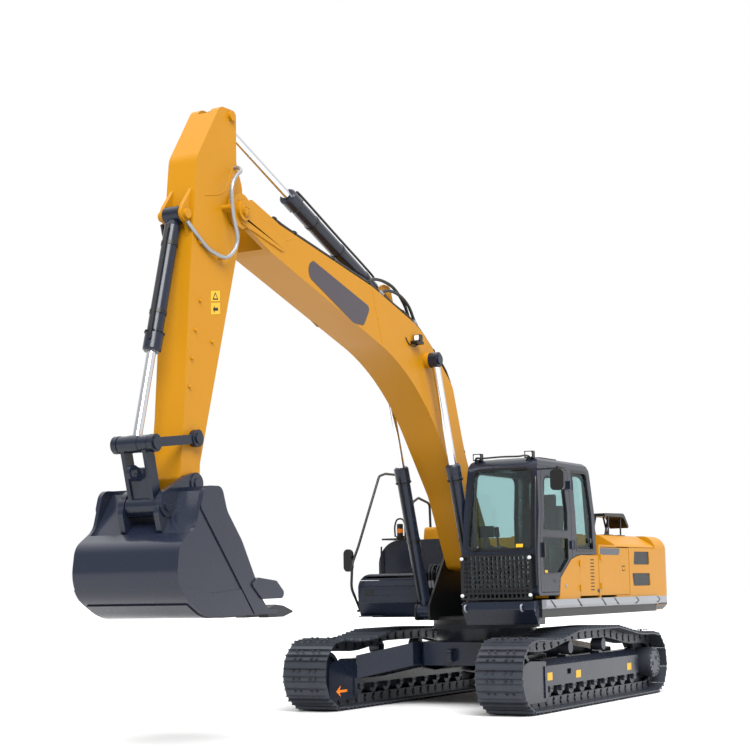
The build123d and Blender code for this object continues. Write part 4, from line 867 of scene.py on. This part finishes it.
# %% [markdown]
# Two yellow warning labels lie on the arm's left face. They carry only signs, a triangle and an
# arrow, and no words. Each sign is a thinner layer on top of its label.

# %% Labels on the arm
upper_label = [(6.276, 4.325), (6.276, 4.43), (6.43, 4.405), (6.43, 4.30)]
lower_label = [(6.276, 4.195), (6.276, 4.31), (6.43, 4.285), (6.43, 4.17)]
triangle = [(6.305, 4.335, 0.004), (6.405, 4.32, 0.004), (6.358, 4.405, 0.004)]
inner_triangle = [(6.328, 4.345, 0.003), (6.384, 4.337, 0.003), (6.357, 4.385, 0.003)]
arrow = [(6.40, 4.225), (6.37, 4.265), (6.37, 4.245), (6.31, 4.255), (6.31, 4.225), (6.37, 4.215),
         (6.37, 4.195)]
prism("arm_label_upper", upper_label, ARM_FACE - 0.001, ARM_FACE + 0.0025, "y", label, "arm", steps=1)
prism("arm_label_mark", triangle, ARM_FACE + 0.002, ARM_FACE + 0.0035, "y", black, "arm")
prism("arm_label_mark_inside", inner_triangle, ARM_FACE + 0.003, ARM_FACE + 0.0042, "y", label, "arm")
prism("arm_label_lower", lower_label, ARM_FACE - 0.001, ARM_FACE + 0.0025, "y", label, "arm", steps=1)
prism("arm_label_arrow", arrow, ARM_FACE + 0.002, ARM_FACE + 0.0037, "y", black, "arm", steps=1)
print("two labels")

# %% [markdown]
# Small threaded bosses for the grease lines stand along the arm, and a weld bead runs round the
# doubling plate at its head.

# %% Bosses and seams on the arm
bosses = [(6.62, 4.28), (6.70, 3.98), (6.76, 3.70), (6.80, 3.42), (6.42, 3.90), (6.62, 3.02)]
boss = [(0, 0.016), (0.018, 0.016), (0.022, 0.011)]
for side, sign in SIDES:
    turned("arm_bosses_" + side, boss, (0, sign * (ARM_FACE - 0.001), 0), (0, sign, 0), yellow, "arm",
           [(x, 0, z) for x, z in bosses], sides=12)
    y = sign * (ARM_FACE - 0.0005)
    seam = [(6.02, y, 5.75), (6.20, y, 5.45), (6.52, y, 5.35)]
    tube("arm_seam_" + side, seam, 0.005, yellow, "arm", sides=8)
print(len(bosses), "bosses a side")

# %% [markdown]
# ## Cylinders
#
# Each hydraulic cylinder wears clamp bands, one or two oil pipes along its barrel, and a ring of
# bolts at the gland where its rod comes out. All of them are placed by their distance from the
# base pin towards the rod pin. The bands are rings and not discs, because the rod slides inside.

# %% Places along a barrel
# Each row: base pin (x, z), rod pin (x, z), distance from the middle, and the gland's distance
cylinders = {
    "bucket_barrel": ((6.7899, 5.1199), (7.3993, 2.8387), 0, 1.24),
    "arm_barrel": ((2.7699, 4.9299), (6.0599, 6.2649), 0, 1.93),
    "boom_barrel_l": ((1.01, 1.18), (2.0, 4.2), 0.36, 1.665),
    "boom_barrel_r": ((1.01, 1.18), (2.0, 4.2), -0.36, 1.665),
}


def way_of(barrel):
    """The direction of a cylinder, from its base pin to its rod pin."""
    (x1, z1), (x2, z2) = cylinders[barrel][:2]
    way = np.array([x2 - x1, 0, z2 - z1])
    return way / np.linalg.norm(way)


def on_barrel(barrel, distance):
    """The point on a cylinder's own line at a distance from its base pin."""
    (x, z), _, y, _ = cylinders[barrel]
    return np.array([x, y, z]) + way_of(barrel) * distance


print({name: way_of(name).round(3).tolist() for name in cylinders})

# %% Makers of bands and oil pipes
BAND_WIDTH, BAND_WALL = 0.04, 0.006


def clamp_band(name, barrel, distance, radius):
    """A ring round a barrel: a rectangle of the band's width and wall, turned about the barrel."""
    inner = radius - BAND_WALL
    profile = [(0, inner), (0, radius), (BAND_WIDTH, radius), (BAND_WIDTH, inner)]
    return turned(name, profile, on_barrel(barrel, distance), way_of(barrel), black, barrel, sides=28,
                  ring_only=True)


def oil_pipe(name, barrel, sideways, out, radius, run):
    """A pipe along a barrel: each row of its run is a distance from the base pin and a height over
    the barrel's middle, measured in the direction out, given as (x, z)."""
    knots = [on_barrel(barrel, distance) + (height * out[0], sideways, height * out[1])
             for distance, height in run]
    return tube(name, knots, radius, black, barrel, sides=10)


print("bands are", BAND_WIDTH, "m wide")

# %% Bands and oil pipes
for number, distance in enumerate((0.30, 1.02)):
    clamp_band(f"bucket_barrel_band_{number}", "bucket_barrel", distance, 0.084)
oil_pipe("bucket_barrel_pipe", "bucket_barrel", 0.03, (0.966, 0.258), 0.014,
         [(0.16, 0.10), (0.28, 0.115), (0.70, 0.112), (1.20, 0.112), (1.34, 0.095)])
for number, distance in enumerate((0.35, 0.95, 1.55)):
    clamp_band(f"arm_barrel_band_{number}", "arm_barrel", distance, 0.092)
for side, sign in SIDES:
    oil_pipe("arm_barrel_pipe_" + side, "arm_barrel", sign * 0.045, (-0.376, 0.927), 0.014,
             [(0.20, 0.09), (0.30, 0.112), (1.10, 0.112), (1.92, 0.115), (2.03, 0.10)])
for side in "lr":
    oil_pipe("boom_barrel_pipe_" + side, "boom_barrel_" + side, 0, (0.95, -0.312), 0.013,
             [(0.16, 0.09), (0.30, 0.108), (1.0, 0.108), (1.66, 0.112), (1.76, 0.095)])
    clamp_band("boom_barrel_band_" + side, "boom_barrel_" + side, 0.9, 0.086)
print("bands and pipes on", len(cylinders), "cylinders")

# %% Gland bolts
GLAND_BOLTS, GLAND_RING = 12, 0.089
angle = np.linspace(0, 2 * np.pi, GLAND_BOLTS, endpoint=False)[:, None]
for name, (_, _, _, gland) in cylinders.items():
    way, first, second = frame_of(way_of(name))
    ring = on_barrel(name, gland) + GLAND_RING * (np.cos(angle) * first + np.sin(angle) * second)
    bolts("gland_bolts_" + name, ring, 0.012, 0.02, way, black, name)
print(GLAND_BOLTS, "bolts on each gland")

# %% [markdown]
# ## Bucket
#
# The bucket's side plates are welded to its shell, and a bead of weld shows outside along the
# rim. As on the boom, the bead is a thin tube half sunk in the plate.

# %% Bucket beads
# The rim from the bucket's pin, each row (x, z)
rim = [(0.118, -0.045), (0.10, -0.16), (-0.02, -0.38), (-0.20, -0.62), (-0.53, -1.06)]
for side, sign in SIDES:
    bead = [(BUCKET_PIN[0] + x + 0.05, sign * 0.601, BUCKET_PIN[1] + z - 0.01) for x, z in rim]
    tube("bucket_bead_" + side, bead, 0.006, bucket_paint_with_painted_sky_blue, "bucket", sides=8)
print("bucket beads placed")

# %% [markdown]
# ## Tracks
#
# The CAD track is one closed loop with its shoes in its outline. Under the shoes a real track has
# a chain: a pair of links for each shoe, joined by pins. Links placed one by one by hand would
# never close up, so the loop is drawn again from a short table of rounded corners and cut into
# one equal step for each shoe, and every link is placed on its step.

# %% The loop and its steps
loop_corners = [
    # x, z, radius of the corner, at the middle of the chain
    (2.370, 0.100, 0.3395), (2.370, 0.842, 0.3395), (1.35, 0.738, 2.5), (0.67, 0.852, 0.9),
    (-0.62, 0.852, 0.9), (-1.40, 0.736, 2.5), (-2.300, 0.800, 0.3145), (-2.300, 0.100, 0.3145),
]
SHOES = 47
line = rounded(loop_corners, 24)
line = np.vstack([line, line[:1]])
length = np.concatenate([[0], np.cumsum(np.linalg.norm(np.diff(line, axis=0), axis=1))])
step = length[-1] / SHOES
stops = np.arange(SHOES) * step
pin_x, pin_z = np.interp(stops, length, line[:, 0]), np.interp(stops, length, line[:, 1])
ahead = np.stack([np.roll(pin_x, -1) - pin_x, np.roll(pin_z, -1) - pin_z], axis=1)
ahead /= np.linalg.norm(ahead, axis=1)[:, None]
outward = np.stack([ahead[:, 1], -ahead[:, 0]], axis=1)
if (outward * (np.stack([pin_x, pin_z], axis=1) - (0.03, 0.47))).sum() < 0:
    outward = -outward
print("chain", round(float(length[-1]), 3), "m,", SHOES, "shoes of", round(float(step) * 1000, 1), "mm")

# %% [markdown]
# Every link, pin and bolt head is drawn once, with one coordinate along the chain and one outward
# from it. A point of step n is that step's pin, plus the first coordinate times the direction
# ahead, plus the second times the direction outward. All 47 copies come out of one array sum.

# %% Links, pins and shoe bolts


def on_chain(name, corners, low, high, paint, body, shift=0.0):
    """The same outline (along the chain, outward) at every link, carried from low to high in y."""
    flat = rounded(corners, 4)
    count = len(flat)
    s, h = flat[:, 0][None, :, None] + shift, flat[:, 1][None, :, None]
    start = np.stack([pin_x, pin_z], axis=1)[:, None]
    ring = start + s * ahead[:, None] + h * outward[:, None]
    walls = [np.insert(ring, 1, low, axis=2), np.insert(ring, 1, high, axis=2)]
    points = np.stack(walls, axis=1).reshape(-1, 3)
    shape = grid_faces(2, count, close_columns=True).tolist()
    shape += [list(range(count))[::-1], list(range(count, 2 * count))]
    faces = [[corner + n * 2 * count for corner in face] for n in range(SHOES) for face in shape]
    return rides(name, points, faces, paint, body)


link = [
    (-0.035, 0.030, 0.02), (-0.035, -0.050, 0.035), (step * 0.35, -0.056, 0.02),
    (step * 0.65, -0.056, 0.02), (step + 0.032, -0.048, 0.035), (step + 0.032, 0.030, 0.02),
    (step * 0.8, 0.055, 0.02), (step * 0.2, 0.055, 0.02),
]
pin = [(-0.02, 0.02, 0.0195), (-0.02, -0.02, 0.0195), (0.02, -0.02, 0.0195), (0.02, 0.02, 0.0195)]
head = [(-0.012, 0.072), (-0.012, 0.085), (0.012, 0.085), (0.012, 0.072)]
BOLT_HALF = 0.012
for side, sign in (("l", 1), ("r", -1)):
    middle = sign * TRACK_MIDDLE
    for edge, way in (("out", 1), ("in", -1)):
        low, high = sorted((middle + way * 0.109, middle + way * 0.118))
        on_chain(f"links_{side}_{edge}", link, low, high, steel, "undercarriage")
        low, high = sorted((middle + way * 0.116, middle + way * 0.126))
        on_chain(f"pins_{side}_{edge}", pin, low, high, wear, "undercarriage")
        for row, y in enumerate((0.075, 0.155)):
            low, high = middle + way * y - BOLT_HALF, middle + way * y + BOLT_HALF
            for half, share in enumerate((0.27, 0.73)):
                on_chain(f"shoe_bolts_{side}_{edge}_{row}_{half}", head, low, high, wear, "undercarriage",
                         step * share)
print("links, pins and bolts on both tracks")

# %% [markdown]
# Rings of bolts hold the covers of the travel drives, and each roller has a pair of bolts beside
# its shaft, on both faces of the frame.

# %% Bolts on the track frames
DRIVE_BOLTS, DRIVE_RING = 16, 0.165
roller_x = np.linspace(-1.5, 1.29, 9)
angle = np.linspace(0, 2 * np.pi, DRIVE_BOLTS, endpoint=False)
for side, way in (("l", 1), ("r", -1)):
    face = way * TRACK_MIDDLE
    ring = np.column_stack([SPROCKET[0] + DRIVE_RING * np.cos(angle),
                            np.full(DRIVE_BOLTS, face + way * 0.262),
                            SPROCKET[1] + DRIVE_RING * np.sin(angle)])
    bolts("drive_cover_bolts_" + side, ring, 0.013, 0.014, (0, way, 0), steel, "undercarriage")
    turned("drive_plugs_" + side, [(0, 0.026), (0.01, 0.026), (0.014, 0.018)],
           (SPROCKET[0], face + way * 0.261, SPROCKET[1]), (0, way, 0), steel, "undercarriage",
           [(0.07, 0, -0.02), (-0.06, 0, 0.05)], sides=12)
    for edge, inner in (("out", 1), ("in", -1)):
        y = face + inner * way * TRACK_FRAME_HALF
        heads = [(x + dx, y, 0.262) for x in roller_x for dx in (-0.034, 0.034)]
        bolts(f"roller_bolts_{side}_{edge}", heads, 0.011, 0.010, (0, inner * way, 0), steel, "undercarriage")
print(2 * DRIVE_BOLTS, "drive bolts and", 8 * len(roller_x), "roller bolts")

# %% [markdown]
# Three blank yellow labels lie on the left frame, and an orange arrow on the inner face of the
# right track's front guard points forward.

# %% Labels and travel arrow
# The middle of each label (x, z)
marks = [(1.33, 0.40), (0.45, 0.385), (-1.30, 0.385)]
face = TRACK_MIDDLE + TRACK_FRAME_HALF
prism("frame_labels", plate((-0.075, 0.075), (-0.045, 0.045)), face - 0.0005, face + 0.0025, "y", label,
      "undercarriage", [(x, 0, z) for x, z in marks], steps=1)
arrow = [(1.93, 0.22), (1.82, 0.29), (1.85, 0.235), (1.67, 0.235), (1.67, 0.205), (1.85, 0.205),
         (1.82, 0.15)]
inner_face = TRACK_FRAME_HALF - TRACK_MIDDLE
prism("travel_arrow", arrow, inner_face, inner_face + 0.003, "y", orange, "undercarriage", steps=1)
print(len(marks), "labels and an arrow")

# %% [markdown]
# ## Right side
#
# The tool box is a pressed sheet box with ribs across its front, a latch and a step under it. The
# beacon on the tank has an amber foot and a yellow dome in a wire guard.

# %% Tool box, beacon and tank fittings
RIBS, RIB_STEP = 3, 0.075
prism("box_ribs", [(1.005, 1.30), (1.0125, 1.305), (1.0125, 1.32), (1.005, 1.325)], -1.27, -0.55, "y", dark,
      "house", [(0, 0, RIB_STEP * k) for k in range(RIBS)], steps=1)
prism("box_latch", plate((-1.24, -1.12), (1.38, 1.45), 0.01), 1.008, 1.016, "x", black, "house")
prism("box_step", plate((0.93, 1.07), (1.11, 1.125)), -1.30, -0.95, "y", dark, "house", steps=1)
beacon_foot = (0.10, -1.20, 2.20)
turned("beacon_lens", [(0, 0.045), (0.055, 0.045), (0.06, 0.03)], beacon_foot, (0, 0, 1), amber, "house")
turned("beacon_dome", [(0.055, 0.036), (0.10, 0.034), (0.125, 0.022)], beacon_foot, (0, 0, 1), label, "house")
hoop = [(0.10, -1.275, 2.15), (0.10, -1.28, 2.28), (0.10, -1.25, 2.37), (0.10, -1.20, 2.39),
        (0.10, -1.15, 2.37), (0.10, -1.12, 2.28), (0.10, -1.125, 2.15)]
tube("beacon_hoop", hoop, 0.012, black, "house", sides=8)
turned("tank_cap", [(0, 0.082), (0.02, 0.082), (0.03, 0.07)], (-0.76, -1.05, 2.155), (0, 0, 1), black,
       "house", sides=24)
step_rail = [(0.30, -1.38, 2.02), (0.31, -1.38, 1.80), (0.30, -1.38, 1.58)]
tube("tank_step_rail", step_rail, 0.012, black, "house", sides=8)
print("right side dressed")

# %% [markdown]
# ## Floor, light and camera
#
# The photograph has a plain white surround and soft light from the left, in front and above. The
# floor is a large plane that only the picture needs, so it is put on stage and isn't part of the
# object.

# %% Floor
FLOOR_SIZE, FLOOR_WHITE, FLOOR_DROP = 400, 0.6, 0.002
bpy.ops.mesh.primitive_plane_add(size=FLOOR_SIZE, location=(0, 0, -FLOOR_DROP))
floor = bpy.context.object
floor.name = "floor"
floor_mat = bpy.data.materials.new("floor_white")
floor_mat.use_nodes = True
floor_shader = floor_mat.node_tree.nodes["Principled BSDF"]
floor_shader.inputs["Base Color"].default_value = (FLOOR_WHITE, FLOOR_WHITE, FLOOR_WHITE, 1)
floor_shader.inputs["Roughness"].default_value = 0.9
floor.data.materials.append(floor_mat)
floor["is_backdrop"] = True
print("floor", FLOOR_SIZE, "m across")

# %% [markdown]
# A sky of one strength lights every face alike and makes the machine look flat. A row of area
# lamps would give it form, but each would also show as a bright square in the glossy paint. So
# the sky itself is uneven: its strength falls off smoothly from behind to the front, and rises
# towards the top. A soft sun adds the main direction.

# %% Sky and sun
world = bpy.data.worlds.new("studio")
scene.world = world
world.use_nodes = True
tree = world.node_tree
background = tree.nodes["Background"]
background.inputs["Color"].default_value = (1, 1, 1, 1)
place = tree.nodes.new("ShaderNodeTexCoord")
split = tree.nodes.new("ShaderNodeSeparateXYZ")
tree.links.new(place.outputs["Generated"], split.inputs["Vector"])
parts = []
for source, start, end, near, far in (("X", 0.0, 0.5, 1.0, 0.5), ("Z", 0.4, 0.85, 0.0, 0.9)):
    # A side of the sky: how its strength changes from start to end along one direction
    change = tree.nodes.new("ShaderNodeMapRange")
    change.interpolation_type = "SMOOTHSTEP"
    for socket, value in (("From Min", start), ("From Max", end), ("To Min", near), ("To Max", far)):
        change.inputs[socket].default_value = value
    tree.links.new(split.outputs[source], change.inputs["Value"])
    parts.append(change)
total = tree.nodes.new("ShaderNodeMath")
tree.links.new(parts[0].outputs["Result"], total.inputs[0])
tree.links.new(parts[1].outputs["Result"], total.inputs[1])
tree.links.new(total.outputs["Value"], background.inputs["Strength"])

sun = bpy.data.lights.new("key", "SUN")
sun.energy = 6.0
sun.angle = math.radians(40)
lamp = bpy.data.objects.new("key", sun)
scene.collection.objects.link(lamp)
SUN_WAY = (-0.55, -0.45, -0.7)
lamp.rotation_euler = Vector(SUN_WAY).to_track_quat("-Z", "Y").to_euler()
print("sun of", sun.energy, "and a sky of", len(parts), "parts")

# %% [markdown]
# The camera was fitted to the photograph: a place, three angles and a focal length that bring the
# machine's corners onto theirs. The angles give the way it looks, its right and its up, and these
# three directions are the columns of its matrix.

# %% Camera
CAMERA_PLACE = (19.494, 9.3275, 1.4833)
YAW, PITCH, ROLL = 0.5108, 0.1289, -0.0186
FOCAL_PIXELS, PHOTO_PIXELS, SENSOR = 1638.19, 750, 36
look = np.array([-math.cos(YAW) * math.cos(PITCH), -math.sin(YAW) * math.cos(PITCH), math.sin(PITCH)])
right = np.cross(look, [0, 0, 1])
right /= np.linalg.norm(right)
up = np.cross(right, look)
camera_data = bpy.data.cameras.new("camera")
camera_data.lens = FOCAL_PIXELS * SENSOR / PHOTO_PIXELS
camera_data.sensor_width = SENSOR
camera_data.clip_end = 500
camera = bpy.data.objects.new("camera", camera_data)
scene.collection.objects.link(camera)
turn = np.eye(4)
turn[:3, 0] = math.cos(ROLL) * right + math.sin(ROLL) * up
turn[:3, 1] = -math.sin(ROLL) * right + math.cos(ROLL) * up
turn[:3, 2] = -look
turn[:3, 3] = CAMERA_PLACE
camera.matrix_world = Matrix(turn.tolist())
scene.camera = camera
print("lens", round(camera_data.lens, 1), "mm")

# %% [markdown]
# The Standard view shows colours as they are set, so the white surround stays white.

# %% Render settings
scene.render.engine = "CYCLES"
scene.cycles.samples = 96
scene.cycles.use_denoising = True
scene.cycles.transparent_max_bounces = 16
scene.render.resolution_x = 1000
scene.render.resolution_y = 1000
scene.view_settings.view_transform = "Standard"
scene.view_settings.look = "None"
print(scene.render.engine, scene.cycles.samples, "samples")

# %% [markdown]
# The dressed machine is measured last, and its size is printed.

# %% Sizes, then finish
low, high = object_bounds()
print(len(added), "added pieces; visual size", [round(b - a, 3) for a, b in zip(low, high)])
